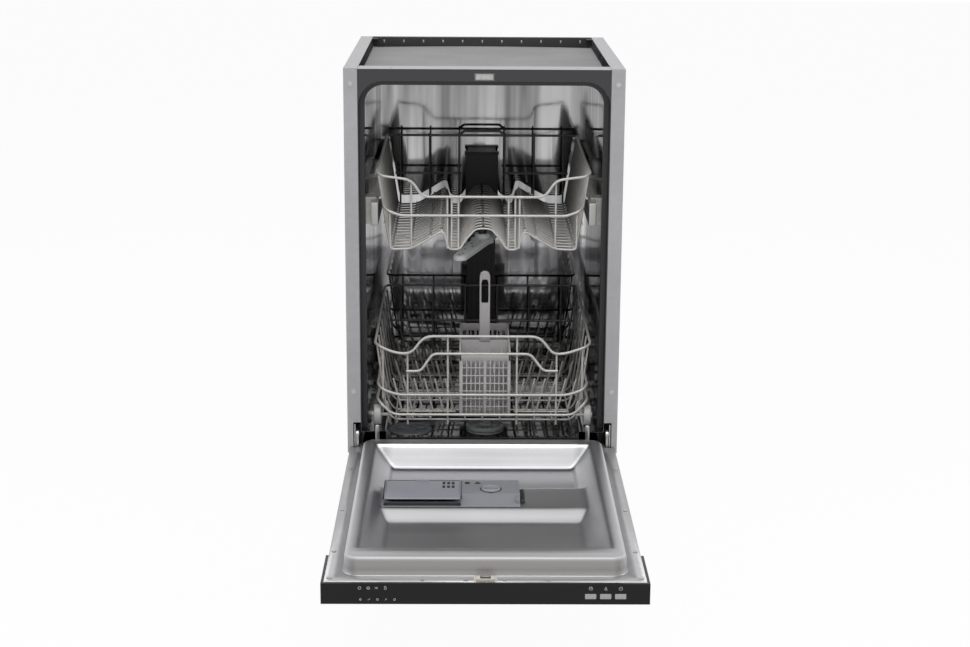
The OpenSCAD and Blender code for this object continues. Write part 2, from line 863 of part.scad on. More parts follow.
module hinge_arms() {
    bottom = door_out + door_skin;
    color(steel) placed() both_sides() across([arm_in, arm_out]) difference() {
        union() {
            translate([hinge_y, hinge_z]) circle(9);
            polygon([
                [hinge_y - 9, hinge_z], [hinge_y + 7.5, hinge_z], [hinge_y + 7.5, bottom],
                [-60, bottom], [-60, door_in - 4], [hinge_y - 9, door_in - 4],
            ]);
        }
        translate([hinge_y, hinge_z]) circle(d = hinge_pin_d + 2 * running_fit);
    }
}

// ---- Controls on the door's top edge ----

button_x = door_half_w - 77;
button_z = door_out + 11.4;
button_collar = 2;
collar_y = door_end + strip_t + loose_fit;
switch_y = collar_y + button_collar + button_travel + loose_fit;

module control_panel() {
    color(black) placed() difference() {
        union() {
            box([-half_w, half_w], [door_end, door_end + strip_t], [door_out, door_in]);
            both_sides() box([door_half_w, half_w], [door_end, door_end + 104], [door_out, door_in]);
        }
        for (i = [0 : 2])
            box([button_x + i * button_pitch - button_w / 2 - loose_fit,
                 button_x + i * button_pitch + button_w / 2 + loose_fit],
                [door_end - 1, door_end + strip_t + 1],
                [button_z - button_h / 2 - loose_fit, button_z + button_h / 2 + loose_fit]);
    }
}

module button(i) {
    x = button_x + i * button_pitch;
    color(pale) placed() {
        box([x - button_w / 2, x + button_w / 2], [door_end, collar_y + button_collar],
            [button_z - button_h / 2, button_z + button_h / 2]);
        box([x - button_w / 2 - 1, x + button_w / 2 + 1], [collar_y, collar_y + button_collar],
            [button_z - button_h / 2 - 2, button_z + button_h / 2 + 2]);
    }
}

module button_left() { button(0); }
module button_middle() { button(1); }
module button_right() { button(2); }

module control_board() {
    board_z = button_z - 4;
    left = button_x - 30;
    right = button_x + 2 * button_pitch + 20;
    color("darkgreen") placed() {
        box([left, right], [switch_y, switch_y + 55], [board_z, board_z + 1.6]);
        for (i = [0 : 2]) translate([button_x + i * button_pitch, 0, 0])
            box([-4, 4], [switch_y, switch_y + 7], [board_z, board_z + 8]);
        for (x = [left + 8, right - 8])
            for (y = [switch_y + 14, switch_y + 47])
                translate([x, y, door_out + door_skin]) cylinder(d = 6, h = board_z - door_out);
    }
}

catch_pivot_z = door_in + 4;

module latch_housing() {
    top = door_in + 11;
    color(pale) placed() difference() {
        union() {
            box([-20, 20], [latch_y - 4, latch_y + 30], [door_out + door_skin, door_in - door_skin]);
            deep([latch_y - 5.3, latch_y + 5.3]) rounded([-13.6, 13.6], [door_in - door_skin - 1, top], 2.5);
        }
        box([-7, 7], [latch_y - 3.8, latch_y + 3.8], [door_in, top + 1]);
        across([-10, 10]) translate([latch_y, catch_pivot_z]) circle(d = 2.4 + 2 * running_fit);
    }
}

module latch_catch() {
    color(steel) placed() {
        box([-6.5, 6.5], [latch_y - 1.8, latch_y + 1.8], [catch_pivot_z - 2.5, catch_pivot_z + 6.3]);
        across([-9.5, 9.5]) translate([latch_y, catch_pivot_z]) circle(d = 2.4);
    }
}

// ---- Detergent dispenser ----

lid_pivot_z = dispenser_top - lid_t / 2;
lid_pivot_y = lid_hinge_y - 2.5;
lid_pin_d = 2.4;
cap_shank_d = 16;

module dispenser_body() {
    bevel_l = dispenser_rise * 2;
    bottom = band_z - 26;
    half_l = dispenser_l / 2;
    front = dispenser_y - half_l;
    color(grey) placed() difference() {
        union() {
            across([dispenser_x - dispenser_w / 2, dispenser_x + dispenser_w / 2]) polygon([
                [dispenser_y + half_l, band_z], [dispenser_y + half_l, dispenser_top],
                [front + bevel_l, dispenser_top], [front, band_z + 1], [front, band_z],
            ]);
            box([dispenser_x - dispenser_w / 2 + 3 + loose_fit,
                 dispenser_x + dispenser_w / 2 - 3 - loose_fit],
                [front + 3 + loose_fit, dispenser_y + half_l - 3 - loose_fit], [bottom, band_z + 1]);
        }
        box([lid_x - lid_w / 2 - 0.5, lid_x + lid_w / 2 + 0.5],
            [lid_pivot_y - lid_l - 0.5, lid_pivot_y + lid_t / 2 + 0.5],
            [dispenser_top - lid_t - 0.4, dispenser_top + 1]);
        box([lid_x - lid_w / 2 + 5, lid_x + lid_w / 2 - 5], [lid_pivot_y - lid_l + 6, lid_pivot_y - 8],
            [dispenser_top - lid_t - chamber_depth, dispenser_top]);
        across([lid_x - lid_w / 2 - 3, lid_x + lid_w / 2 + 3])
            translate([lid_pivot_y, lid_pivot_z]) circle(d = lid_pin_d + 2 * running_fit);
        translate([rinse_x, dispenser_y, dispenser_top - 10])
            cylinder(d = cap_shank_d + 2 * running_fit, h = 20);
    }
}

module dispenser_lid() {
    color(grey) placed() {
        box([lid_x - lid_w / 2, lid_x + lid_w / 2], [lid_pivot_y - lid_l, lid_pivot_y],
            [dispenser_top - lid_t, dispenser_top]);
        across([lid_x - lid_w / 2, lid_x + lid_w / 2])
            translate([lid_pivot_y, lid_pivot_z]) circle(d = lid_t);
        across([lid_x - lid_w / 2 - 2.6, lid_x + lid_w / 2 + 2.6])
            translate([lid_pivot_y, lid_pivot_z]) circle(d = lid_pin_d);
    }
}

module rinse_cap() {
    color(pale) placed() translate([rinse_x, dispenser_y, dispenser_top]) {
        translate([0, 0, loose_fit]) cylinder(d = rinse_d, h = 2.4);
        translate([0, 0, loose_fit - 10]) cylinder(d = cap_shank_d, h = 11);
        box([-rinse_d / 2 + 3, rinse_d / 2 - 3], [-1.5, 1.5], [2, 4.2]);
    }
}

// ---- Telescopic rails and upper basket ----

rail_wall = 1.8;
layer = 0.85;
front_layer = (frame_wire_d + thin_wire_d) / 2 * layer;
thin_layer = thin_wire_d * layer;

module upper_rails() {
    color(grey) placed() both_sides() difference() {
        box([rail_in, rail_out], [rail_front + cap_t, rail_rear], [rail_z - rail_h / 2, rail_z + rail_h / 2]);
        box([rail_in - 1, rail_out - rail_wall], [rail_front, rail_rear + 1],
            [rail_z - rail_h / 2 + rail_wall, rail_z + rail_h / 2 - rail_wall]);
    }
}

module rail_end_caps() {
    width = rail_out - rail_in;
    color(grey) placed() both_sides() deep([rail_front, rail_front + cap_t])
        rounded([rail_in, rail_out], [rail_z - rail_h / 2, rail_z + rail_h / 2], width / 2 - 0.5);
}

// One edge of a bent wire: its centre line moved sideways by half the wire, mitred at the bends
function wire_edge(points, offset) = [
    for (i = [0 : len(points) - 1])
        let (
            before = points[max(i, 1)] - points[max(i, 1) - 1],
            last = len(points) - 2,
            after = points[min(i, last) + 1] - points[min(i, last)],
            u = before / norm(before),
            v = after / norm(after),
            normal = [-u[1] - v[1], u[0] + v[0]] / norm(u + v)
        )
        points[i] + normal * offset / (normal * [-u[1], u[0]])
];

function reversed(points) = [for (i = [len(points) - 1 : -1 : 0]) points[i]];

// The right-hand half of a wire's bends, and its mirror image
function full_span(half) = concat([for (p = reversed(half)) [-p[0], p[1]]], half);

// A bent wire that lies in the upright plane at y
module bent_wire(points, y, d) {
    deep([y - d / 2, y + d / 2])
        polygon(concat(wire_edge(points, d / 2), reversed(wire_edge(points, -d / 2))));
}

// A straight wire that runs from front to back
module long_wire(x, y, z, d) {
    box([x - d / 2, x + d / 2], y, [z - d / 2, z + d / 2]);
}

function upper_side_x(z) = upper_floor_half
    + (upper_half - upper_floor_half) * (z - upper_floor) / (upper_top - upper_floor);

upper_wave = [
    [20, upper_floor + 33], [36, upper_floor - 1], [58, upper_floor + 1], [66, upper_floor + 29],
    [87, upper_floor + 19], [119, upper_floor], [upper_floor_half - 3.5, upper_floor],
];
upper_wave_y = [60, 140, 215, 300, 380, upper_rear - 18];

module upper_basket_frame() {
    thin = thin_wire_d;
    thick = frame_wire_d;
    foot_z = upper_floor + 3;
    front = upper_front + thick / 2;
    rear = upper_rear;
    post_y = front + front_layer;
    run = [post_y + thin / 2 + loose_fit, rear - front_layer - thin / 2 - loose_fit];
    color(steel) placed() {
        bent_wire(full_span([[100, upper_top - 39], [118, upper_top - 11], [upper_half, upper_top - 3]]),
            front, thick);
        bent_wire(full_span([[upper_half - 38, upper_top - 70], [upper_half - 18, upper_top - 66]]),
            front, thick);
        bent_wire(full_span([[34, upper_top + 7], [upper_half, upper_top + 2]]), rear, thick);
        both_sides() {
            for (post = [[upper_floor_half - 5, 6], [118, 11], [59, 39]])
                bent_wire([[post[0], foot_z], [post[0], upper_top - post[1]]], post_y, thin);
            bent_wire([[36, upper_top - 70], [upper_half - 16, upper_top - 70]], rear, thick);
            for (x = [42, 96, upper_floor_half - 5])
                bent_wire([[x, foot_z], [x, upper_top + 6]], rear - front_layer, thin);
            upper_basket_side();
            for (x = [36, 66, 87, 119, upper_floor_half - 8])
                long_wire(x, run, lookup(x, upper_wave) + thin_layer, thin);
            long_wire(14, [run[0], manifold_y - 3], upper_wave[0][1] + thin_layer, thin);
        }
        for (y = upper_wave_y) bent_wire(full_span(upper_wave), y, thin);
    }
}

module upper_basket_side() {
    run = [upper_front + frame_wire_d + loose_fit, upper_rear - frame_wire_d / 2 - loose_fit];
    foot_z = upper_floor + 1;
    shoe_top = rail_z + rail_h / 2 - rail_wall - loose_fit;
    shoe_bottom = rail_z - rail_h / 2 + rail_wall + loose_fit;
    long_wire(upper_half, run, upper_top, frame_wire_d);
    long_wire(upper_side_x(upper_top - 45) - front_layer, run, upper_top - 45, thin_wire_d);
    long_wire(upper_side_x(foot_z) - 1, run, foot_z, thin_wire_d);
    for (i = [0 : 6])
        bent_wire([[upper_side_x(foot_z), foot_z], [upper_half, upper_top]],
            run[0] + 3 + i * (run[1] - run[0] - 6) / 6, thin_wire_d);
    for (y = [run[1] - 155.4, run[1] - 26])
        box([upper_side_x(rail_z) - 5, rail_out - rail_wall - loose_fit], [y, y + 25],
            [shoe_bottom, shoe_top]);
}

// ---- Lower basket ----

lower_rail_z = wheel_z + 4.5;
lower_cross_z = lower_floor - thin_layer;
floor_half = lower_floor_half - 5;
lower_wire_pitch = (floor_half - thin_wire_d) / 5;

function lower_side_x(z) = lower_floor_half + 3
    + (lower_half - lower_floor_half - 3) * (z - lower_rail_z) / (lower_top - lower_rail_z);

module lower_basket_frame() {
    thin = thin_wire_d;
    thick = frame_wire_d;
    corner = lower_half;
    front = lower_front;
    rear = lower_rear;
    top = lower_top;
    post_foot_z = ledge_z + 2.5;
    post_y = front + front_layer;
    run = [post_y + thin / 2 + loose_fit, rear - front_layer - thin / 2 - loose_fit];
    color(steel) placed() {
        bent_wire(full_span([[corner - 83, top + 15], [corner - 61, top - 15],
            [corner - 41, top - 14], [corner, top - 1]]), front, thick);
        bent_wire(full_span([[corner - 96, top - 15], [corner - 76, top - 45], [corner - 52, top - 45]]),
            front, thick);
        bent_wire(full_span([[corner - 37, top - 85], [corner - 3, top - 73]]), front, thick);
        bent_wire(full_span([[corner - 25, top - 120], [corner - 5, top - 97]]), front, thick);
        bent_wire(full_span([[90, top + 6], [corner, top + 4]]), rear, thick);
        bent_wire(full_span([[90, top - 64], [corner - 14, top - 64]]), rear, thick);
        bent_wire(full_span([[90, lower_rail_z + 2], [corner - 21, lower_rail_z + 2]]), rear, thick);
        both_sides() {
            for (post = [[57, 15], [corner - 55, -15]])
                bent_wire([[post[0], post_foot_z], [post[0], top + post[1]]], post_y, thin);
            bent_wire([[corner - 13, top - 107], [corner - 13, top - 4]], post_y, thin);
            for (x = [30, 90, corner - 29])
                bent_wire([[x, lower_floor - 1], [x, top + 5]], rear - front_layer, thin);
            lower_basket_side();
        }
        for (i = [-5 : 5]) long_wire(i * lower_wire_pitch, run, lower_floor, thin);
        for (i = [0 : 4])
            bent_wire([[-floor_half, lower_cross_z], [floor_half, lower_cross_z]],
                front + 18 + i * (rear - front - 36) / 4, thin);
    }
}

module lower_basket_side() {
    run = [lower_front + front_layer + thin_wire_d / 2 + loose_fit,
        lower_rear - frame_wire_d / 2 - loose_fit];
    axle_end = wheel_x + wheel_w / 2 + 2.5;
    for (z = [lower_top, lower_top - 60, lower_rail_z])
        long_wire(lower_side_x(z), run, z, frame_wire_d);
    for (i = [0 : 6])
        bent_wire([[lower_side_x(lower_rail_z) - 2.5, lower_rail_z],
                   [lower_side_x(lower_top) - 2.5, lower_top]],
            run[0] + 3 + i * (run[1] - run[0] - 6) / 6, thin_wire_d);
    for (y = [wheel_front_y, wheel_rear_y]) {
        across([lower_floor_half, axle_end]) translate([y, wheel_z]) circle(d = axle_d);
        across([axle_end - 2.5 + loose_fit, axle_end]) translate([y, wheel_z]) circle(d = axle_d + 5);
    }
}

module wheel(x, y) {
    color(grey) placed() translate([x - wheel_w / 2, y, wheel_z]) rotate([0, 90, 0]) difference() {
        cylinder(d = wheel_d, h = wheel_w);
        translate([0, 0, -1]) cylinder(d = axle_d + 2 * running_fit, h = wheel_w + 2);
    }
}

module wheel_front_left() { wheel(-wheel_x, wheel_front_y); }
module wheel_front_right() { wheel(wheel_x, wheel_front_y); }
module wheel_rear_left() { wheel(-wheel_x, wheel_rear_y); }
module wheel_rear_right() { wheel(wheel_x, wheel_rear_y); }

// A row of tines beside the base wire that they are welded to; the tines lean outwards
module tine_row(y, inner_x, side) {
    z = lower_floor + thin_wire_d + loose_fit;
    lean = 0.26;
    tine_y = y + thin_wire_d + loose_fit;
    last = floor((floor_half - inner_x) / tine_pitch);
    bent_wire([[side * (inner_x - 3), z], [side * (inner_x + last * tine_pitch + 3), z]], y,
        thin_wire_d);
    for (i = [0 : last]) {
        x = inner_x + i * tine_pitch;
        bent_wire([[side * x, z], [side * (x + lean * tine_l), z + tine_l]], tine_y, thin_wire_d);
    }
}

module plate_tines() {
    color(steel) placed() for (y = [lower_front + 35 : 110 : lower_rear - 50]) {
        tine_row(y, 48, -1);
        tine_row(y, 56, 1);
    }
}

module cutlery_basket() {
    bottom = lower_floor + thin_wire_d / 2 + loose_fit;
    top = bottom + cutlery_h;
    front = lower_front + 11;
    rear = front + cutlery_l;
    middle = front + cutlery_l * 0.45;
    wall = 2;
    columns = 8;
    side_columns = 11;
    rows = 4;
    bar = 3;
    x_pitch = (cutlery_w - 14) / columns;
    y_pitch = (cutlery_l - 16) / side_columns;
    z_pitch = (cutlery_h - 20) / rows;
    handle_top = top + 120;
    inner = [-cutlery_w / 2 + wall, cutlery_w / 2 - wall];
    color(pale) placed() translate([4, 0, 0]) difference() {
        union() {
            difference() {
                box([-cutlery_w / 2, cutlery_w / 2], [front, rear], [bottom, top]);
                box(inner, [front + wall, middle], [bottom + wall, top + 1]);
                box(inner, [middle + wall, rear - wall], [bottom + wall, top + 1]);
            }
            box([-9, 9], [middle - 1.5, middle + wall + 1.5], [top - 4, handle_top]);
        }
        for (i = [0 : columns - 1])
            for (k = [0 : rows - 1])
                translate([-cutlery_w / 2 + 7 + i * x_pitch, front - 1, bottom + 7 + k * z_pitch])
                    cube([x_pitch - bar, cutlery_l + 2, z_pitch - bar]);
        for (i = [0 : side_columns - 1])
            for (k = [0 : rows - 1])
                translate([-cutlery_w / 2 - 1, front + 8 + i * y_pitch, bottom + 7 + k * z_pitch])
                    cube([cutlery_w + 2, y_pitch - bar, z_pitch - bar]);
        box([-6, 6], [middle - 3, middle + wall + 3], [handle_top - 60, handle_top - 12]);
    }
}

// ---- The pieces ----

side_panel_left();
side_panel_right();
base_tray();
base_front_cover();
rear_cover();
rear_crossbar();
front_crossbar();
tub();
top_insulation();
side_insulation();
door_gasket();
bottom_seal();
striker_plate();
sump();
wash_pump();
drain_pump();
heater();
salt_tank();
inlet_valve();
cable_gland();
air_break();
feed_duct();
filter_plate();
hinge_brackets();
panel_screws();
rail_guides();
foot_front_left();
foot_front_right();
foot_rear_left();
foot_rear_right();
filter_cylinder();
salt_cap();
lower_spray_arm();
door_liner();
door_outer_panel();
control_panel();
control_board();
latch_housing();
latch_catch();
dispenser_body();
dispenser_lid();
rinse_cap();
button_left();
button_middle();
button_right();
door_insulation();
hinge_arms();
door_screws();
upper_rails();
rail_end_caps();
upper_basket_frame();
upper_feed_tube();
upper_spray_arm();
lower_basket_frame();
plate_tines();
cutlery_basket();
wheel_front_left();
wheel_front_right();
wheel_rear_left();
wheel_rear_right();
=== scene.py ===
"""A slim built-in dishwasher with its door let down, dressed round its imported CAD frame.

The file follows the machine as it is put together: view, room, cabinet, tub, door liner, baskets,
water parts, dispenser, controls and small fittings. Sizes are in millimetres as on the drawing,
with y = 0 at the cabinet's front plane, and place() turns them into the frame's metres.
"""

import math

import bmesh
import bpy
from mathutils import Matrix, Vector


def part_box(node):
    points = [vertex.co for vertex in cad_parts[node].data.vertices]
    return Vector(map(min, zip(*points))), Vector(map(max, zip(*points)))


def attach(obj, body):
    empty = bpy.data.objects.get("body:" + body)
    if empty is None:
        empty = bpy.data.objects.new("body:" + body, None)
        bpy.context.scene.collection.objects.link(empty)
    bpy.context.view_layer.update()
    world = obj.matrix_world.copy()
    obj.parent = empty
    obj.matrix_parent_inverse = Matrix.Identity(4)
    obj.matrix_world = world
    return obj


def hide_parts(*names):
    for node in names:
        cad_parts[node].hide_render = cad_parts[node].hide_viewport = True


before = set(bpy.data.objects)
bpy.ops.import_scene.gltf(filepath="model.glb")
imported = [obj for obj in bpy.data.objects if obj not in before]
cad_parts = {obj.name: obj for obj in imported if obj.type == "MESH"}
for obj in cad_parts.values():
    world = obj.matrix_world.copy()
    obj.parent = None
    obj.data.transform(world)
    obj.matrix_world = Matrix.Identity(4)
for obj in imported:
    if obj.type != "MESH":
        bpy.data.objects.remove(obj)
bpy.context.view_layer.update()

# ---- View ----
# The camera stands where the photographer stood: straight in front, a little above the cabinet's
# top, looking down into the tub and onto the open door.

front_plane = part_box("side_panel_left")[0].y


def place(x, y, z):
    """A point of the drawing, in millimetres, in the frame's metres."""
    return Vector((x / 1000, y / 1000 + front_plane, z / 1000))


photo_width_px = 970
focal_px = 1857.64
sensor_mm = 36.0
camera_yaw, camera_pitch, camera_roll = 0.0102, 0.2494, 0.0061
camera_spot = place(-26.92, -2947.94, 1149.96)

camera_data = bpy.data.cameras.new("camera")
camera_data.sensor_width = sensor_mm
camera_data.lens = focal_px / photo_width_px * sensor_mm
camera = bpy.data.objects.new("camera", camera_data)
bpy.context.scene.collection.objects.link(camera)
bpy.context.scene.camera = camera
bpy.context.scene.view_settings.view_transform = "Standard"

ahead = Vector((
    math.sin(camera_yaw) * math.cos(camera_pitch),
    math.cos(camera_yaw) * math.cos(camera_pitch),
    -math.sin(camera_pitch),
))
level_right = Vector((math.cos(camera_yaw), -math.sin(camera_yaw), 0))
level_up = level_right.cross(ahead)
right = level_right * math.cos(camera_roll) + level_up * math.sin(camera_roll)
up = level_up * math.cos(camera_roll) - level_right * math.sin(camera_roll)
camera.matrix_world = Matrix.Translation(camera_spot) @ Matrix(
    (right, up, -ahead)
).transposed().to_4x4()

# ---- Room ----
# A pale painted floor that keeps a faint shadow, a white surround that metal can mirror, and three
# broad soft lamps. The floor's paint is the first finish: one shader and the patterns on it.


def tone(red, green, blue):
    """A colour as it looks on screen, 0 to 255, in the shader's own scale."""
    return tuple((c / 255) ** 2.2 for c in (red, green, blue)) + (1.0,)


class Level:
    """A value that varies over a surface. Arithmetic on it adds Math nodes."""

    def __init__(self, finish, socket):
        self.finish = finish
        self.socket = socket

    def _sum(self, operation, first, second):
        return self.finish.add("ShaderNodeMath", {"operation": operation}, {0: first, 1: second})

    def __add__(self, other):
        return self._sum("ADD", self, other)

    def __radd__(self, other):
        return self._sum("ADD", other, self)

    def __sub__(self, other):
        return self._sum("SUBTRACT", self, other)

    def __rsub__(self, other):
        return self._sum("SUBTRACT", other, self)

    def __mul__(self, other):
        return self._sum("MULTIPLY", self, other)

    def __rmul__(self, other):
        return self._sum("MULTIPLY", other, self)

    def __gt__(self, other):
        return self._sum("GREATER_THAN", self, other)

    def __lt__(self, other):
        return self._sum("LESS_THAN", self, other)

    def __abs__(self):
        return self._sum("ABSOLUTE", self, 0.0)

    def rise(self, low, high):
        """0 below low, 1 above high and a soft slope between; low above high turns it round."""
        return self.finish.add(
            "ShaderNodeClamp", {}, {"Value": (self - low) * (1 / (high - low))}
        )


class Finish:
    """One material, or the world's air: its shader and its nodes."""

    def __init__(self, name, kept_in=bpy.data.materials, **constants):
        self.material = kept_in.new(name)
        self.material.use_nodes = True
        self.tree = self.material.node_tree
        self.shader = self.tree.nodes.get("Principled BSDF")
        for socket, value in constants.items():
            self.shader.inputs[socket.replace("_", " ")].default_value = value

    def add(self, kind, settings=None, sockets=None, output=0):
        """A node of that kind: its settings first, then its sockets' values or links."""
        node = self.tree.nodes.new(kind)
        for setting, value in (settings or {}).items():
            setattr(node, setting, value)
        for socket, value in (sockets or {}).items():
            self.feed(node.inputs[socket], value)
        return Level(self, node.outputs[output])

    def feed(self, socket, value):
        if isinstance(value, Level):
            self.tree.links.new(value.socket, socket)
        else:
            socket.default_value = value

    def over(self, **levels):
        """Feeds what varies over the surface to the shader's sockets."""
        for socket, level in levels.items():
            self.feed(self.shader.inputs[socket.replace("_", " ")], level)

    def now(self, socket):
        """The level that feeds that socket of the shader so far."""
        return Level(self, self.shader.inputs[socket].links[0].from_socket)

    def spread(self, x=1.0, y=1.0, z=1.0):
        """The object's coordinates, in metres, drawn out along each axis."""
        here = self.add("ShaderNodeTexCoord", output="Object")
        return self.add("ShaderNodeMapping", {}, {"Vector": here, "Scale": (x, y, z)})

    def noise(self, x, y=None, z=None, detail=2.0, roughness=0.5):
        """Soft noise from 0 to 1, with that many waves to the metre along x, y and z."""
        y, z = (x if y is None else y), (x if z is None else z)
        return self.add("ShaderNodeTexNoise", {}, {
            "Vector": self.spread(x, y, z), "Scale": 1.0, "Detail": detail, "Roughness": roughness,
        })

    def along(self, axis):
        """The object's coordinate along that axis, in metres."""
        here = self.add("ShaderNodeTexCoord", output="Object")
        return self.add("ShaderNodeSeparateXYZ", {}, {0: here}, output=axis)

    def mixed(self, level, low, high):
        """The colour low where the level is 0 and high where it is 1."""
        return self.add(
            "ShaderNodeMix", {"data_type": "RGBA"}, {0: level, 6: low, 7: high}, output=2
        )

    def bump(self, height, depth=0.001, strength=0.5):
        self.over(Normal=self.add("ShaderNodeBump", {}, {
            "Height": height, "Distance": depth, "Strength": strength,
        }, output="Normal"))


white = (1, 1, 1, 1)
air_light = 0.32
air = Finish("room", bpy.data.worlds)
bpy.context.scene.world = air.material
seen = air.add("ShaderNodeLightPath", output="Is Camera Ray") + air.add(
    "ShaderNodeLightPath", output="Is Glossy Ray"
)
clear_rays = air.add("ShaderNodeMath", {"operation": "ADD", "use_clamp": True}, {
    0: seen, 1: air.add("ShaderNodeLightPath", output="Is Transmission Ray"),
})
either = air.add("ShaderNodeMixShader", {}, {
    0: clear_rays,
    1: air.add("ShaderNodeBackground", {}, {"Color": white, "Strength": air_light}),
    2: air.add("ShaderNodeBackground", {}, {"Color": white, "Strength": 1.0}),
})
air.feed(air.tree.nodes["World Output"].inputs["Surface"], either)

floor_finish = Finish("floor_paint", Roughness=1.0)
floor_finish.over(Base_Color=(0.9, 0.9, 0.9, 1))
glow = floor_finish.add("ShaderNodeEmission", {}, {"Color": white, "Strength": 1.0})
mirror_rays = floor_finish.add("ShaderNodeLightPath", output="Is Glossy Ray") + floor_finish.add(
    "ShaderNodeLightPath", output="Is Transmission Ray"
)
camera_rays = floor_finish.add("ShaderNodeLightPath", output="Is Camera Ray")
white_share = camera_rays * 0.95 + mirror_rays * 0.6
painted = Level(floor_finish, floor_finish.shader.outputs[0])
shown = floor_finish.add("ShaderNodeMixShader", {}, {0: white_share, 1: painted, 2: glow})
floor_finish.feed(floor_finish.tree.nodes["Material Output"].inputs["Surface"], shown)

floor_mesh = bmesh.new()
bmesh.ops.create_grid(floor_mesh, x_segments=1, y_segments=1, size=12)
floor_data = bpy.data.meshes.new("floor")
floor_mesh.to_mesh(floor_data)
floor_mesh.free()
floor_data.materials.append(floor_finish.material)
floor = bpy.data.objects.new("floor", floor_data)
bpy.context.scene.collection.objects.link(floor)


def lamp(name, spot, aim, width, power):
    light = bpy.data.lights.new(name, "AREA")
    light.shape, light.size, light.energy = "SQUARE", width, power
    lit = bpy.data.objects.new(name, light)
    lit.location = spot
    lit.rotation_euler = (Vector(aim) - Vector(spot)).to_track_quat("-Z", "Y").to_euler()
    bpy.context.scene.collection.objects.link(lit)


lamp("lamp_front", (0.0, -1.9, 3.6), (0, -0.1, 0.4), 2.4, 78)
lamp("lamp_left", (-2.4, -0.6, 1.6), (0, 0, 0.4), 1.4, 18)
lamp("lamp_right", (2.4, -0.4, 1.5), (0, 0, 0.4), 1.4, 17)

# ---- Cabinet ----
# Side panels, rear cover and front bar are folded from galvanised sheet, left bare because
# kitchen units hide them. Zinc crystals give the sheet faint patches, and handling dulls it.


def dress(finish, *nodes):
    """Gives CAD nodes that keep their shape their finish."""
    for name in nodes:
        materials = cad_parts[name].data.materials
        materials.clear()
        materials.append(finish.material)


def zinc_sheet(name, light, dark):
    finish = Finish(name, Metallic=0.75, Specular_IOR_Level=0.4)
    crystals = finish.add("ShaderNodeTexVoronoi", {}, {
        "Vector": finish.spread(), "Scale": 130.0,
    }, output="Color")
    patch = finish.add("ShaderNodeSeparateColor", {}, {0: crystals})
    cloud = finish.noise(9, detail=4)
    scuff = finish.noise(60, 60, 500, detail=3)
    finish.over(
        Base_Color=finish.mixed(patch * 0.12 + cloud * 0.6 + scuff * 0.28, dark, light),
        Roughness=0.34 + patch * 0.03 + cloud * 0.12,
    )
    finish.bump(scuff, depth=0.0004, strength=0.15)
    return finish


galvanised = zinc_sheet("galvanised_sheet", tone(182, 182, 184), tone(152, 152, 155))
dress(
    galvanised,
    "side_panel_left", "side_panel_right", "rear_cover", "front_crossbar", "door_outer_panel",
)


def moulded(name, colour, shade, roughness=0.55, grain=900.0, **constants):
    """Moulded plastic: an even colour with a fine grain and slow, faint cloudiness."""
    finish = Finish(name, **constants)
    cloud = finish.noise(14, detail=3)
    fine = finish.noise(grain, detail=2)
    finish.over(
        Base_Color=finish.mixed(cloud * 0.6 + fine * 0.4, shade, colour),
        Roughness=roughness - 0.08 + cloud * 0.16,
    )
    finish.bump(fine, depth=0.0002, strength=0.25)
    return finish


black_plastic = moulded("black_moulding", tone(46, 46, 48), tone(30, 30, 32))
dress(
    black_plastic,
    "base_tray", "base_front_cover", "rear_crossbar", "sump", "drain_pump", "cable_gland",
    "foot_front_left", "foot_front_right", "foot_rear_left", "foot_rear_right",
)
pale_plastic = moulded("pale_moulding", tone(205, 200, 192), tone(186, 181, 174))
dress(pale_plastic, "salt_tank", "inlet_valve", "air_break")
grey_plastic = moulded("grey_moulding", tone(128, 130, 136), tone(108, 110, 116))
dress(grey_plastic, "wash_pump")

plated = Finish("zinc_plating", Metallic=0.9)
plated_cloud = plated.noise(120, detail=3)
plated.over(
    Base_Color=plated.mixed(plated_cloud, tone(150, 150, 148), tone(196, 195, 190)),
    Roughness=0.24 + plated_cloud * 0.18,
)
dress(
    plated,
    "hinge_brackets", "hinge_arms", "latch_catch", "heater", "upper_rails", "rail_guides",
)

screw_zinc = Finish("screw_zinc", Metallic=0.9, Roughness=0.35)
screw_cloud = screw_zinc.noise(260, detail=3)
screw_zinc.over(Base_Color=screw_zinc.mixed(screw_cloud, tone(158, 158, 158), tone(214, 213, 211)))
dress(screw_zinc, "panel_screws", "door_screws", "striker_plate")

# Bitumen felt lies on the tub's top and sides to deaden its sound: matt, pressed fibres.
bitumen = Finish("bitumen_felt", Roughness=0.9)
fibres = bitumen.noise(700, 260, 700, detail=4, roughness=0.7)
stain = bitumen.noise(11, detail=4)
bitumen.over(
    Base_Color=bitumen.mixed(
        stain * 0.55 + fibres * 0.45, tone(126, 125, 126), tone(176, 175, 177),
    ),
    Roughness=0.82 + fibres * 0.15,
)
bitumen.bump(fibres, depth=0.0012, strength=0.6)
dress(bitumen, "top_insulation", "side_insulation", "door_insulation")

# ---- Tub ----
# Deep-drawn bright stainless sheet, rolled bright and not quite flat. The long upright stripes
# that the baskets make on its walls are painted reflections, and the flange round the mouth is
# painted a darker grey.


def brushed_steel(name, light, dark, along, roughness=0.2, waviness=0.0, streak=0.5, grain=0.04):
    """Stainless sheet brushed along one axis, given as waves to the metre on each axis."""
    finish = Finish(name, Metallic=1.0, Specular_IOR_Level=0.5)
    line = finish.noise(*along, detail=3, roughness=0.6)
    slow = finish.noise(7, detail=3)
    finish.over(
        Base_Color=finish.mixed(line * streak + slow * (1 - streak), dark, light),
        Roughness=roughness - 0.04 + line * 0.08 + slow * 0.04,
    )
    ripple = finish.noise(30, 14, 2.5, detail=1)
    finish.bump(line * grain + ripple * waviness, depth=0.003, strength=0.6)
    return finish


tub_steel = brushed_steel(
    "tub_steel", tone(196, 196, 197), tone(116, 116, 118), (90, 90, 2), roughness=0.04,
    waviness=0.16, grain=0.012,
)
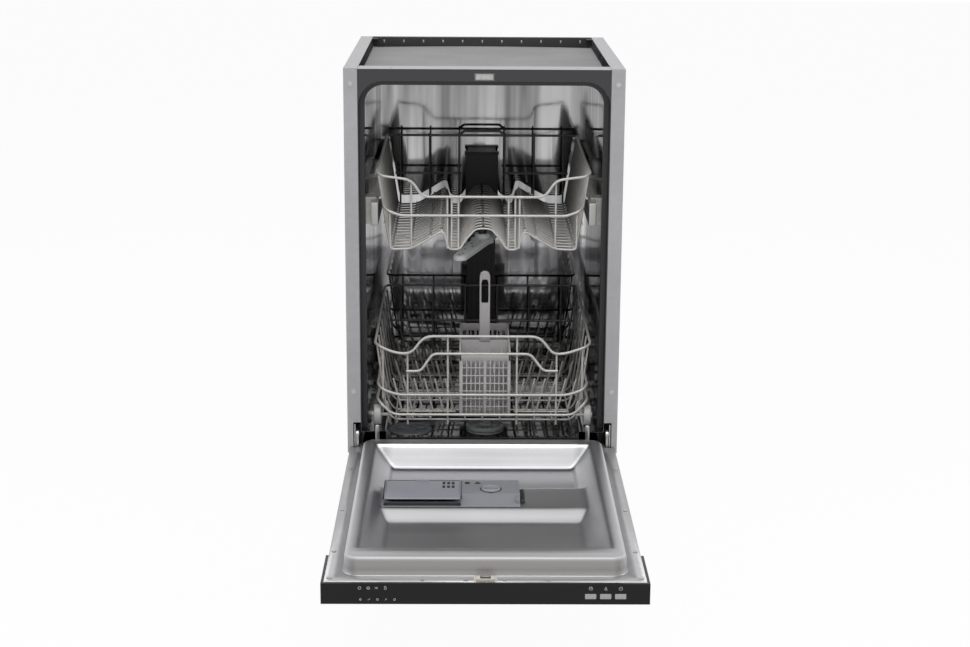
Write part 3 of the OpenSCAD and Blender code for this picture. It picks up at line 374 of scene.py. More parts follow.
# Painted into the colour: the mouth's flange is a darker grey, the floor carries painted shade, the
# side walls carry painted reflections of the rows of basket wires in black and white, and the rear
# wall carries painted reflections in broad upright stripes.
side_wall_x, floor_top = 0.1875, 0.2
rear_wall_y, flange_y = front_plane + 0.485, front_plane + 0.0015
painted_wire_reflections = tub_steel.noise(3, 46, 1.4, detail=4, roughness=0.7).rise(0.5, 0.625)
painted_band_reflections = tub_steel.noise(15, 1, 0.8, detail=3, roughness=0.6).rise(0.42, 0.5867)
wall_steel = tub_steel.now("Base Color")
for mask, painted_tone in (
    ((abs(tub_steel.along("X")) > side_wall_x) * 0.9,
     tub_steel.mixed(painted_wire_reflections, tone(34, 34, 36), tone(236, 236, 237))),
    ((tub_steel.along("Y") > rear_wall_y) * 0.5,
     tub_steel.mixed(painted_band_reflections, tone(70, 70, 72), tone(226, 226, 227))),
    ((tub_steel.along("Z") < floor_top) * 0.75, tone(58, 58, 60)),
    (tub_steel.along("Y") < flange_y, tone(84, 84, 87)),
):
    wall_steel = tub_steel.mixed(mask, wall_steel, painted_tone)
tub_steel.over(Base_Color=wall_steel)
dress(tub_steel, "tub", "filter_plate")

# Gasket and sill seal are soft black rubber with a slight sheen where they are pressed.
rubber = Finish("black_rubber", Specular_IOR_Level=0.6)
bloom = rubber.noise(60, detail=3)
rubber.over(
    Base_Color=rubber.mixed(bloom, tone(18, 18, 19), tone(38, 38, 40)),
    Roughness=0.32 + bloom * 0.2,
)
dress(rubber, "door_gasket", "bottom_seal")

# ---- Door liner ----
# One stainless pressing: a flat flange, a rounded rim that meets the gasket, and a deep recess
# with sloping walls and a raised band for the dispenser. Screws hold its flange to the outer panel.

door_steel = brushed_steel(
    "door_steel", tone(205, 205, 207), tone(170, 170, 172), (3, 150, 150), roughness=0.33,
)
# Painted shade: the room in front is darker than the one above, so the rim's outer wall, darker
# still at its corners, and the shaded half of its sides are painted a deeper grey, and the floor
# behind the band is painted darker than in front of it. The crest of the front rim is worn dull.
steel_x = abs(door_steel.along("X"))
steel_y, steel_z = door_steel.along("Y"), door_steel.along("Z")
crest = steel_y.rise(front_plane - 0.536, front_plane - 0.552) * steel_z.rise(0.203, 0.209)
painted_rim_corner_shade = steel_y.rise(front_plane - 0.535, front_plane - 0.56) * steel_x.rise(0.176, 0.19)
painted_outer_wall_shade = steel_y.rise(front_plane - 0.545, front_plane - 0.566) * (
    steel_z.rise(0.2125, 0.2065) * steel_x.rise(0.1975, 0.182) * 0.45 + 0.5
)
shaded_side = steel_x.rise(0.146, 0.158) * steel_x.rise(0.182, 0.176) * steel_y.rise(
    front_plane - 0.43, front_plane - 0.25
)
painted_rear_floor_shade = steel_z.rise(0.181, 0.1765) * steel_y.rise(front_plane - 0.222, front_plane - 0.2)
liner_steel = door_steel.now("Base Color")
for mask, grey in (
    (painted_outer_wall_shade, door_steel.mixed(painted_rim_corner_shade * 0.6, tone(150, 148, 147), tone(84, 82, 81))),
    (shaded_side * 0.45, tone(112, 113, 115)),
    (painted_rear_floor_shade * 0.95, tone(112, 112, 114)),
):
    liner_steel = door_steel.mixed(mask, liner_steel, grey)
door_steel.over(Base_Color=liner_steel, Roughness=crest * 0.26 + door_steel.now("Roughness"))


def piece(name, body, finish, shape, stands_for=(), smooth_to=35, sheet_mm=0):
    """Makes a finished mesh a piece of the machine that rides on that body.

    A pressed sheet is modelled as its upper face and gets its thickness below it.
    """
    bmesh.ops.remove_doubles(shape, verts=shape.verts, dist=0.00001)
    bmesh.ops.recalc_face_normals(shape, faces=shape.faces)
    if sheet_mm and sum(face.normal.z * face.calc_area() for face in shape.faces) < 0:
        bmesh.ops.reverse_faces(shape, faces=shape.faces)
    mesh = bpy.data.meshes.new(name)
    shape.to_mesh(mesh)
    shape.free()
    mesh.shade_smooth()
    mesh.set_sharp_from_angle(angle=math.radians(smooth_to))
    mesh.materials.append(finish.material)
    made = bpy.data.objects.new(name, mesh)
    bpy.context.scene.collection.objects.link(made)
    if sheet_mm:
        thickness = made.modifiers.new("sheet", "SOLIDIFY")
        thickness.thickness, thickness.offset = sheet_mm / 1000, -1
    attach(made, body)
    if stands_for:
        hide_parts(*stands_for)
    return made


def outline_face(shape, corners):
    """A flat face through corners given in millimetres."""
    return shape.faces.new([shape.verts.new(place(*corner)) for corner in corners])


def rounded_high(a, b, bend):
    """The higher of two slopes, with a soft bend where they meet."""
    return (a + b + math.hypot(a - b, bend)) / 2


def rounded_low(a, b, bend):
    return (a + b - math.hypot(a - b, bend)) / 2


door_in, rim_top, recess_z, band_z = 186.5, 212.7, 174.0, 190.0
rim_half, rim_front, rim_rear, rim_bend = 197.5, -568.0, -33.0, 24.0
recess_half, recess_front, recess_rear = 176.0, -528.0, -62.0
band_front, band_rear = -303.0, -212.0
lip = 6.0


def recess_height(x, y):
    """The pressing's height inside the rim: walls, floor and band, all softly bent."""
    deep = rim_top - recess_z
    side = recess_z + (abs(x) - recess_half + 30) * deep / 30
    rear = recess_z + (y - recess_rear + 17) * deep / 17
    front = recess_z + (recess_front + 8 - y) * deep / 8
    band = rounded_low(
        recess_z + (band_rear + 7 - y) * (band_z - recess_z) / 7,
        recess_z + (y - band_front + 27) * (band_z - recess_z) / 27,
        2,
    )
    height = rounded_high(recess_z, rounded_low(band, band_z, 2.4), 2.4)
    for wall in (side, rear, front):
        height = rounded_high(height, wall, 3)
    return rounded_low(height, rim_top, 2.2)


pressing = bmesh.new()
crown = outline_face(pressing, [
    (-rim_half, rim_front, door_in), (rim_half, rim_front, door_in),
    (rim_half, rim_rear, door_in), (-rim_half, rim_rear, door_in),
])
bmesh.ops.bevel(
    pressing, geom=list(crown.verts), offset=rim_bend / 1000, offset_type="OFFSET", segments=12,
    profile=0.5, affect="VERTICES", material=-1,
)
rim_foot = [tuple(v.co) for v in next(iter(pressing.faces)).verts]
for inset, rise in (
    (0.3, 0.1), (0.5, 0.6), (0.8, 8.0), (0.8, 9.5), (0.4, 3.6),
    (0.6, 2.0), (1.0, 1.3), (1.5, 0.8), (2.4, 0.3),
):
    crown = max(pressing.faces, key=lambda face: face.calc_area())
    bmesh.ops.inset_region(
        pressing, faces=[crown], thickness=inset / 1000, depth=0, use_even_offset=True,
        use_boundary=True,
    )
    bmesh.ops.translate(pressing, vec=(0, 0, rise / 1000), verts=list(crown.verts))
crown_edge = list(crown.edges)
bmesh.ops.delete(pressing, geom=[crown], context="FACES_ONLY")

floor_grid = bmesh.ops.create_grid(pressing, x_segments=150, y_segments=210, size=0.5)["verts"]
grid_half = recess_half + lip
grid_low, grid_high = recess_front - lip, recess_rear + lip
for v in floor_grid:
    x = v.co.x * 2 * grid_half
    y = (grid_low + grid_high) / 2 + v.co.y * (grid_high - grid_low)
    v.co = place(x, y, recess_height(x, y))
hollow_edge = [e for v in floor_grid for e in v.link_edges if e.is_boundary]
bmesh.ops.bridge_loops(pressing, edges=crown_edge + list(set(hollow_edge)))

# The dispenser drops into a hole cut in the band.
dispenser_x, dispenser_y, dispenser_w, dispenser_l = -49.0, -258.5, 208.0, 87.0
hole_low = place(dispenser_x - dispenser_w / 2 + 5, dispenser_y - dispenser_l / 2 + 5, 0)
hole_high = place(dispenser_x + dispenser_w / 2 - 5, dispenser_y + dispenser_l / 2 - 5, 0)
cut = [
    face for face in pressing.faces
    if hole_low.x < face.calc_center_median().x < hole_high.x
    and hole_low.y < face.calc_center_median().y < hole_high.y
]
bmesh.ops.delete(pressing, geom=cut, context="FACES")
piece("door_liner_pressing", "door", door_steel, pressing, ["door_liner"],
      smooth_to=60, sheet_mm=0.9)

# The flange stays flat round the rim, and is duller because it is not polished.
panel_half, flange_front, neck, neck_half, toe = 220.0, -589.5, -3.0, 204.7, 20.0
flange = bmesh.new()
border = outline_face(flange, [
    (-panel_half, flange_front, door_in), (panel_half, flange_front, door_in),
    (panel_half, neck, door_in), (neck_half, neck, door_in), (neck_half, toe, door_in),
    (-neck_half, toe, door_in), (-neck_half, neck, door_in), (-panel_half, neck, door_in),
])
rim_hole = flange.faces.new([flange.verts.new(spot) for spot in rim_foot])
bmesh.ops.delete(flange, geom=[border, rim_hole], context="FACES_ONLY")
bmesh.ops.triangle_fill(flange, use_beauty=True, edges=list(flange.edges))
flange_steel = zinc_sheet("flange_sheet", tone(184, 184, 185), tone(158, 158, 160))
piece("door_liner_flange", "door", flange_steel, flange, ["door_liner"], sheet_mm=0.9)

# ---- Upper basket ----
# Steel wire, bent and welded, then dipped in a smooth grey coat. Thick wires make the rim and the
# front rails; thin ones run from side to side in waves that hold cups and glasses upside down.

coated = Finish("coated_wire", Metallic=0.15, Specular_IOR_Level=0.6)
coat_cloud = coated.noise(80, detail=3)
# Painted shade: the coat turns a dark grey towards the rear of the tub, where the tub's ceiling
# keeps the front lamp off the wires.
depth = coated.along("Y").rise(front_plane + 0.06, front_plane + 0.4767)
coated.over(
    Base_Color=coated.mixed(
        depth, coated.mixed(coat_cloud, tone(172, 170, 166), tone(206, 203, 198)),
        tone(92, 91, 90),
    ),
    Roughness=0.3 + coat_cloud * 0.15,
)
thick_wire, thin_wire = 4.6, 3.4


def bent(points, bend, closed=False):
    """A wire's centre line with each corner turned to an arc."""
    spots = [place(*point) for point in points]
    path = []
    last = len(spots) - 1
    for index, spot in enumerate(spots):
        if not closed and index in (0, last):
            path.append(spot)
            continue
        back, on = spots[index - 1] - spot, spots[(index + 1) % len(spots)] - spot
        cut = min(bend / 1000, back.length * 0.48, on.length * 0.48)
        start, end = spot + back.normalized() * cut, spot + on.normalized() * cut
        for step in range(5):
            t = step / 4
            path.append(start * (1 - t) ** 2 + spot * 2 * t * (1 - t) + end * t ** 2)
    return path


def wire_piece(name, body, finish, runs, stands_for=()):
    """Welded wires as one piece. A run is its thickness, bend and points, and whether it closes."""
    line = bpy.data.curves.new(name, "CURVE")
    line.dimensions = "3D"
    line.bevel_depth = 0.0005
    line.bevel_resolution = 2
    line.use_fill_caps = True
    for thickness, bend, points, closed in runs:
        path = bent(points, bend, closed)
        spline = line.splines.new("POLY")
        spline.points.add(len(path) - 1)
        for point, spot in zip(spline.points, path):
            point.co = (*spot, 1)
            point.radius = thickness
        spline.use_cyclic_u = closed
        spline.use_smooth = True
    line.materials.append(finish.material)
    made = bpy.data.objects.new(name, line)
    bpy.context.scene.collection.objects.link(made)
    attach(made, body)
    if stands_for:
        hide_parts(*stands_for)
    return made


def both_ways(half):
    """The right half of a run of (x, z) points and its mirror image, left to right."""
    return [(-x, z) for x, z in reversed(half)] + list(half)


def in_plane(points, y):
    return [(x, y, z) for x, z in points]


def straight(start, end):
    """A thin wire between two points."""
    return (thin_wire, 3, (start, end), False)


def post(x, y, low, high):
    return straight((x, y, low), (x, y, high))


upper_front, upper_rear, upper_rim = 33.3, 448.0, 642.0
upper_half, upper_floor_half, upper_floor = 174.0, 155.0, 515.0
wave = [
    (6, 550), (14, 548), (30, 530), (38, 515), (57, 515), (64, 543), (72, 544), (87, 534),
    (119, 516),
]
wave_side = [(upper_floor_half, 519), (upper_half - 0.5, upper_rim - 1)]
upper_runs = [
    (thick_wire, 12, [
        (-165, upper_front, 637), (-118, upper_front, 631), (-100, upper_front, 603),
        (100, upper_front, 603), (118, upper_front, 631), (165, upper_front, 637),
        (upper_half, upper_front + 9, 641), (upper_half, upper_rear, upper_rim),
        (-upper_half, upper_rear, upper_rim), (-upper_half, upper_front + 9, 641),
    ], True),
    (thick_wire, 8, [
        (-163, upper_front + 14, 584), (-157, upper_front, 580), (-136, upper_front, 572),
        (136, upper_front, 572), (157, upper_front, 580), (163, upper_front + 14, 584),
    ], False),
    (thick_wire, 5, in_plane(both_ways([(34, 650), (40, 643)]), upper_rear), False),
    (thick_wire, 5, in_plane([(-158, 572), (-38, 572)], upper_rear), False),
    (thick_wire, 5, in_plane([(38, 572), (158, 572)], upper_rear), False),
]
wave_count, wave_pitch = 18, 23.6
for row in range(wave_count):
    # The first wave ends at the front rails; the others go up the sides to the rim.
    rise = wave_side if row else [(153, 580)]
    foot = (upper_floor_half - (5 if row else 2), upper_floor)
    run = in_plane(both_ways(wave + [foot] + rise), upper_front + 4 + row * wave_pitch)
    upper_runs.append((thin_wire, 7, run, False))
for right_x, top in ((118, 630), (52, 602), (41, 602), (59, 602)):
    for x in (right_x, -right_x):
        upper_runs.append(post(x, upper_front + 3.6, 517, top))
for side in (-1, 1):
    for x in (42, 96, 150):
        upper_runs.append(post(side * x, upper_rear - 3.4, 517, 647))
    for x, z in ((149, 518), (119, 519), (87, 537), (68, 547), (57, 518), (38, 518), (0, 553)):
        end = 437 if x else 436
        upper_runs.append(straight((side * x, 36, z), (side * x, end, z)))
    for x, z in ((168.6, 600), (162, 556)):
        upper_runs.append(straight((side * x, 40, z), (side * x, upper_rear - 2, z)))
wire_piece("upper_basket_wires", "upper_basket", coated, upper_runs,
           ["upper_basket_frame"])

# ---- Lower basket ----
# The same coated wire. The rim dips in the middle of its front, wires bent to a U carry the
# floor and the sides, and four plastic wheels run on the tub's ledges.

lower_front, lower_rear, lower_half = 27.0, 448.0, 179.0
floor_wire_z, axle_z, axle_d = 226.0, 231.0, 6.0
hoop_count, hoop_pitch, floor_pitch = 8, 56, 29.1
lower_runs = [
    (thick_wire, 14, [
        (-170, lower_front, 352), (-145, lower_front, 341), (-119, lower_front, 340),
        (-97, lower_front, 370), (94, lower_front, 370), (117, lower_front, 340),
        (138, lower_front, 341), (170, lower_front, 352), (lower_half, lower_front + 12, 355),
        (lower_half, lower_rear, 359), (-lower_half, lower_rear, 359),
        (-lower_half, lower_front + 12, 355),
    ], True),
    (thick_wire, 8, in_plane([
        (-127, 310), (-103, 310), (-83, 340), (79, 340), (101, 311), (125, 311),
    ], lower_front), False),
    (thick_wire, 12, [
        (-168, lower_front, 279), (-142, lower_front, 269), (142, lower_front, 269),
        (168, lower_front, 279), (175, lower_front + 14, 284), (175, lower_rear, 291),
        (-175, lower_rear, 291), (-175, lower_front + 14, 284),
    ], True),
    (thick_wire, 12, [
        (-170, lower_front, 254), (-150, lower_front, 234.5), (152, lower_front, 234.5),
        (170, lower_front, 254), (176, lower_front + 14, 259), (172, lower_rear - 16, 259),
        (150, lower_rear, 238), (-150, lower_rear, 238), (-172, lower_rear - 16, 259),
        (-176, lower_front + 14, 259),
    ], True),
]
for x, top in ((-125, 340), (-58, 370), (57, 370), (123, 340)):
    lower_runs.append(post(x, lower_front + 3.9, 217, top))
for row in range(hoop_count):
    lower_runs.append((thin_wire, 14, in_plane(both_ways([
        (149, floor_wire_z - 3.2), (160, 238), (168, 290), (176, 354),
    ]), lower_front + 12 + row * hoop_pitch), False))
for column in range(-5, 6):
    lower_runs.append(straight(
        (column * floor_pitch, lower_front + 4, floor_wire_z),
        (column * floor_pitch, lower_rear - 4, floor_wire_z),
    ))
for side in (-1, 1):
    lower_runs.append(post(side * 166, 30.9, 262, 351))
    lower_runs.append(straight((side * 170.5, 32, 322), (side * 172.5, lower_rear - 3, 325)))
    for x in (30, 90, 150):
        lower_runs.append(post(side * x, lower_rear - 3.9, 225, 361))
    for y in (41, 426):
        lower_runs.append((axle_d, 1, [(side * 156, y, axle_z), (side * 183, y, axle_z)], False))
        lower_runs.append((10.5, 1, [(side * 182.3, y, axle_z), (side * 184.4, y, axle_z)], False))
        lower_runs.append((thin_wire, 5, [
            (side * 158, y, 224), (side * 158, y, 250), (side * 166, y, 259),
        ], False))
wire_piece("lower_basket_wires", "lower_basket", coated, lower_runs,
           ["lower_basket_frame"])

tine_base_z, tine_length, tine_lean, tine_d = 229.8, 58.0, 15.0, 3.5
tine_count, tine_pitch = 6, 17.5
tine_runs = []
for y in (62, 172, 282, 392):
    for side, inner_x in ((-1, 48.0), (1, 56.0)):
        tine_runs.append((tine_d, 1, [
            (side * (inner_x - 3), y, tine_base_z), (side * (inner_x + 90.5), y, tine_base_z),
        ], False))
        for tine in range(tine_count):
            x = inner_x + tine * tine_pitch
            tine_runs.append((tine_d, 6, [
                (side * x, y, tine_base_z),
                (side * (x + tine_lean * 0.96), y, tine_base_z + tine_length - 1.6),
                (side * (x + tine_lean * 1.04), y, tine_base_z + tine_length - 0.6),
            ], False))
wire_piece("plate_tine_wires", "lower_basket", coated, tine_runs, ["plate_tines"])

# A wheel is moulded with a tread, a thin web and a hub that runs on the axle.
wheel_grey = moulded("wheel_moulding", tone(186, 186, 184), tone(166, 166, 165), roughness=0.42)


def turned(shape, profile, centre, axis=Vector((0, 0, 1)), steps=48):
    """Spins a closed profile of (distance from the axis, place along it) about that axis."""
    out = Vector((0, 0, 1)) if abs(axis.z) < 0.5 else Vector((1, 0, 0))
    corners = [
        shape.verts.new(centre + out * (far / 1000) + axis * (along / 1000))
        for far, along in profile
    ]
    edges = [shape.edges.new((a, b)) for a, b in zip(corners, corners[1:] + corners[:1])]
    bmesh.ops.spin(
        shape, geom=corners + edges, cent=centre, axis=axis, angle=math.tau, steps=steps,
        use_merge=True, use_duplicate=False,
    )


for name, x, y in (
    ("wheel_front_left", -176, 41), ("wheel_front_right", 176, 41),
    ("wheel_rear_left", -176, 426), ("wheel_rear_right", 176, 426),
):
    wheel = bmesh.new()
    turned(wheel, [
        (3.15, -6), (6.5, -6), (7.5, -5), (7.5, -2), (13.2, -2), (13.2, -4.6), (14.4, -6),
        (15.6, -6), (16.9, -4.6), (17, 0), (16.9, 4.6), (15.6, 6), (14.4, 6), (13.2, 4.6),
        (13.2, 2), (7.5, 2), (7.5, 5), (6.5, 6), (3.15, 6),
    ], place(x, y, axle_z), Vector((1, 0, 0)))
    piece(name + "_moulding", name, wheel_grey, wheel, [name], smooth_to=40)

# ---- Cutlery basket ----
# A warm grey moulding: lattice walls under a plain rim, slats between the compartments, and an
# upright strap with a slot for the fingers.

cutlery_grey = moulded("cutlery_moulding", tone(200, 197, 197), tone(182, 179, 180), roughness=0.45)
basket_left, basket_right, basket_front, basket_rear = -39.0, 47.0, 38.0, 243.0
basket_bottom, basket_rim, divide_y = 228.1, 338.0, 131.2


def flat_grid(shape, corner, across, up, columns, rows):
    """A rectangle of faces from a corner, along two edges given in millimetres."""
    first = place(*corner)
    across, up = Vector(across) / 1000, Vector(up) / 1000
    verts = bmesh.ops.create_grid(shape, x_segments=columns, y_segments=rows, size=0.5)["verts"]
    for v in verts:
        v.co = first + across * (v.co.x + 0.5) + up * (v.co.y + 0.5)
    shape.normal_update()
    return list({face for v in verts for face in v.link_faces})


def lattice(shape, corner, across, up, columns, rows, bar):
    """A grid whose faces are cut away inside their bars."""
    faces = flat_grid(shape, corner, across, up, columns, rows)
    bmesh.ops.inset_individual(shape, faces=faces, thickness=bar / 2000, depth=0)
    bmesh.ops.delete(shape, geom=faces, context="FACES")


def rounded_box(shape, low, high, radius, segments=2):
    """A box between two corners in millimetres, with all its edges rounded."""
    low, high = place(*low), place(*high)
    verts = bmesh.ops.create_cube(shape, size=1.0)["verts"]
    for v in verts:
        v.co = Vector([
            (low[i] + high[i]) / 2 + v.co[i] * (high[i] - low[i]) for i in range(3)
        ])
    edges = list({edge for v in verts for edge in v.link_edges})
    if radius:
        bmesh.ops.bevel(
            shape, geom=edges, offset=radius / 1000, offset_type="OFFSET", segments=segments,
            profile=0.5, affect="EDGES", material=-1,
        )


walls = bmesh.new()
grid_bottom, grid_rise = basket_bottom + 4, 94.0
for y in (basket_front + 1.2, basket_rear - 1.2):
    lattice(walls, (basket_left + 5, y, grid_bottom), (36.5, 0, 0), (0, 0, grid_rise), 5, 7, 2.2)
    lattice(walls, (basket_left + 44.5, y, grid_bottom), (36.5, 0, 0), (0, 0, grid_rise), 5, 7, 2.2)
for x in (basket_left + 1.2, basket_right - 1.2):
    lattice(walls, (x, basket_front + 5, grid_bottom), (0, 90, 0), (0, 0, grid_rise), 11, 7, 2.2)
    lattice(walls, (x, divide_y + 5, grid_bottom), (0, 106, 0), (0, 0, grid_rise), 13, 7, 2.2)
lattice(walls, (basket_left + 3, basket_front + 3, basket_bottom + 1.2), (80, 0, 0), (0, 199, 0),
        10, 24, 2.4)
made_walls = piece("cutlery_lattice", "lower_basket", cutlery_grey, walls,
                   ["cutlery_basket"])
wall_sheet = made_walls.modifiers.new("wall", "SOLIDIFY")
wall_sheet.thickness, wall_sheet.offset = 0.002, 0

rim_low, foot_high = basket_rim - 13, basket_bottom + 5
frame_bars = bmesh.new()
for low_z, high_z, deep in ((rim_low, basket_rim, 3), (basket_bottom, foot_high, 2.4)):
    for y in (basket_front, basket_rear - deep):
        rounded_box(frame_bars, (basket_left, y, low_z), (basket_right, y + deep, high_z), 0.6)
    for x in (basket_left, basket_right - deep):
        rounded_box(frame_bars, (x, basket_front, low_z), (x + deep, basket_rear, high_z), 0.6)
rounded_box(frame_bars, (basket_left + 1, divide_y - 1.2, basket_bottom),
            (basket_right - 1, divide_y + 1.2, basket_rim - 1), 0.6)
for y in (basket_front + 0.2, basket_rear - 2.4):
    rounded_box(frame_bars, (2.5, y, basket_bottom), (5.5, y + 2.2, basket_rim - 2), 0.6)
for x in (basket_left, basket_right - 5.4):
    for y in (basket_front, basket_rear - 5.4):
        rounded_box(frame_bars, (x, y, basket_bottom), (x + 5.4, y + 5.4, basket_rim), 2.2, 3)
for x in (-24.5, -10.3, 18.3, 32.5):
    rounded_box(frame_bars, (x - 0.9, basket_front + 2, basket_rim - 34),
                (x + 0.9, basket_rear - 2, basket_rim - 12), 0.5)
for y in (68, 100, 160, 188, 216):
    rounded_box(frame_bars, (basket_left + 2, y - 0.9, basket_rim - 30),
                (basket_right - 2, y + 0.9, basket_rim - 16), 0.5)
piece("cutlery_frame", "lower_basket", cutlery_grey, frame_bars,
      ["cutlery_basket"])

strap_outline = [
    (-9, basket_rim - 4), (9, basket_rim - 4), (9, 449), (7, 455), (3, 458), (-3, 458), (-7, 455),
    (-9, 449),
]
slot_outline = [(-5, 402), (5, 402), (6, 405), (6, 436), (4, 443), (-4, 443), (-6, 436), (-6, 405)]
strap = bmesh.new()
for outline in (strap_outline, slot_outline):
    corners = [strap.verts.new(place(4 + x, divide_y, z)) for x, z in outline]
    for a, b in zip(corners, corners[1:] + corners[:1]):
        strap.edges.new((a, b))
bmesh.ops.triangle_fill(strap, use_beauty=True, edges=list(strap.edges))
made_strap = piece("cutlery_handle", "lower_basket", cutlery_grey, strap,
                   ["cutlery_basket"])
strap_sheet = made_strap.modifiers.new("strap", "SOLIDIFY")
strap_sheet.thickness, strap_sheet.offset = 0.0046, 0
strap_edge = made_strap.modifiers.new("strap_edge", "BEVEL")
strap_edge.width, strap_edge.segments = 0.0009, 2

# ---- Water parts ----
# Black mouldings carry the water up the rear wall to the upper arm. The two arms are pale milky
# blades with a row of jets, and the filter cup and the ribbed salt cap stand in the tub's floor.

dress(black_plastic, "feed_duct", "upper_feed_tube")
milky = moulded(
    "milky_moulding", tone(218, 222, 219), tone(200, 205, 202), roughness=0.3, Coat_Weight=0.3,
)
jet_dark = moulded("jet_moulding", tone(58, 60, 62), tone(44, 46, 48))


def cylinder(shape, x, y, low, high, radius, top_radius=None, segments=32):
    """An upright round solid in millimetres, narrower at the top if a second radius is given."""
    bmesh.ops.create_cone(
        shape, cap_ends=True, segments=segments, radius1=radius / 1000,
        radius2=(radius if top_radius is None else top_radius) / 1000, depth=(high - low) / 1000,
        matrix=Matrix.Translation(place(x, y, (low + high) / 2)),
    )


def spray_arm(name, y, blade_z, hub_z, reach, turn):
    """A blade with round tips and a round hub, moulded in one, with its row of jets."""
    tip_r, hub_r = 12.0, 20.0
    outline = []
    for start, centre, radius, count in (
        (-90, reach - tip_r, tip_r, 12), (52, 0, hub_r, 6), (90, tip_r - reach, tip_r, 12),
        (232, 0, hub_r, 6),
    ):
        sweep = 180 if centre else 76
        for step in range(count + 1):
            angle = math.radians(start + sweep * step / count)
            outline.append((centre + radius * math.cos(angle), radius * math.sin(angle)))
    swing = Matrix.Rotation(math.radians(turn), 3, "Z")
    at = place(0, y, 0)

    def seat(x, across, z):
        return at + swing @ Vector((x / 1000, across / 1000, z / 1000))

    blade = bmesh.new()
    crown = blade.faces.new([blade.verts.new(seat(x, across, blade_z)) for x, across in outline])
    raised = bmesh.ops.extrude_face_region(blade, geom=[crown])["geom"]
    top = next(part for part in raised if isinstance(part, bmesh.types.BMFace))
    bmesh.ops.translate(blade, vec=(0, 0, 0.0052), verts=list(top.verts))
    for inset, rise in ((0.5, 1.3), (1.0, 1.1), (2.0, 0.8), (3.0, 0.4)):
        blade.normal_update()
        bmesh.ops.inset_region(
            blade, faces=[top], thickness=inset / 1000, depth=0, use_even_offset=True,
        )
        bmesh.ops.translate(blade, vec=(0, 0, rise / 1000), verts=list(top.verts))
    cylinder(blade, 0, y, *hub_z, 15, 13.4)
    cylinder(blade, 0, y, hub_z[1] - 1.2, hub_z[1] + 0.8, 7.5, 6.5)
    piece(name + "_blade", name, milky, blade, [name], smooth_to=40)

    jets = bmesh.new()
    for side in (-1, 1):
        for far, across in ((34, 5), (58, -4), (82, 4), (104, -3), (reach - 22, 2), (reach - 8, 0)):
            spot = seat(side * far, side * across, blade_z + 8.6)
            bmesh.ops.create_cone(
                jets, cap_ends=True, segments=16, radius1=0.0026, radius2=0.002, depth=0.0012,
                matrix=Matrix.Translation(spot),
            )
    piece(name + "_jets", name, jet_dark, jets)


spray_arm("lower_spray_arm", 250, 208, (205, 219), 152, 12)
spray_arm("upper_spray_arm", 240, 485, (485, 501), 160, 75)

# The duct's manifold has collars round its ports, a plate on top and ribs.
manifold = bmesh.new()
turned(manifold, [(14.8, 0), (17.4, 0), (18.4, 1), (18.4, 3.4), (14.8, 3.4)],
       place(0, 437.8, 530), Vector((0, 1, 0)))
turned(manifold, [(20.5, 0), (22.5, 0), (22.5, 1), (20.5, 1)],
       place(0, 440.4, 575), Vector((0, 1, 0)))
rounded_box(manifold, (-31.5, 440, 607), (31.5, 466, 611), 1)
for x in (-28.5, 28.5):
    rounded_box(manifold, (x - 1.2, 439.2, 514), (x + 1.2, 441.2, 608), 0.5)
for x in (-18, -6, 6, 18):
    rounded_box(manifold, (x - 0.8, 461.6, 215), (x + 0.8, 463.2, 510), 0.4)
piece("manifold_details", "cabinet", black_plastic, manifold)


def ring_of_blocks(shape, centre, count, far, size):
    """Blocks of one size, standing round a centre at an even pitch, all facing it."""
    for block in range(count):
        turn = Matrix.Rotation(block * math.tau / count, 3, "Z")
        for v in bmesh.ops.create_cube(shape, size=1.0)["verts"]:
            v.co = centre + turn @ (Vector((
                far + v.co.x * size[0], v.co.y * size[1], v.co.z * size[2],
            )) / 1000)


filter_x, filter_y = 5.0, 100.0
filter_pale = moulded("filter_moulding", tone(172, 176, 176), tone(150, 154, 155), roughness=0.4)
cup = bmesh.new()
centre = place(filter_x, filter_y, 0)
turned(cup, [(28.5, 190.5), (31, 190), (32.6, 191), (32.6, 195.4), (31.6, 196.6), (28.5, 196.6)],
       centre, steps=64)
turned(cup, [(29.4, 105), (32.2, 105), (32.2, 188.6), (29.4, 188.6)], centre)
for ring_z in (176, 181.5, 187):
    turned(cup, [(12, ring_z), (31, ring_z), (31, ring_z + 1.3), (12, ring_z + 1.3)], centre)
ring_of_blocks(cup, place(filter_x, filter_y, 186), 12, 20.5, (19, 1.6, 17))
cylinder(cup, filter_x, filter_y, 110, 197, 12.5, 11.5)
rounded_box(cup, (1.4, 87, 195), (8.6, 113, 201), 0.9)
for y in (85.5, 110.5):
    rounded_box(cup, (-3.5, y, 195), (13.5, y + 4, 200.6), 0.9)
piece("filter_cup", "filter_cylinder", filter_pale, cup, ["filter_cylinder"])

salt_dark = moulded("salt_cap_moulding", tone(92, 94, 98), tone(72, 74, 78), roughness=0.45)
salt_x, salt_y = -122.0, 69.0
cap = bmesh.new()
turned(cap, [
    (25.2, 187.2), (30, 187.2), (30, 194), (36.4, 194.2), (36.6, 196), (35.4, 197.3), (27, 197.3),
    (25.5, 196.2), (14, 196.2), (12.8, 197.2), (6, 197.3), (6, 195), (25.2, 195),
], place(salt_x, salt_y, 0), steps=72)
cylinder(cap, salt_x, salt_y, 194.8, 197, 7)
ring_of_blocks(cap, place(salt_x, salt_y, 195.6), 36, 35.7, (2.6, 2.6, 2.6))
for side in (-1, 1):
    rounded_box(cap, (salt_x + side * 17 - 8, salt_y - 2.6, 195.5),
                (salt_x + side * 17 + 8, salt_y + 2.6, 200.5), 1)
piece("salt_cap_moulding", "salt_cap", salt_dark, cap, ["salt_cap"], smooth_to=30)

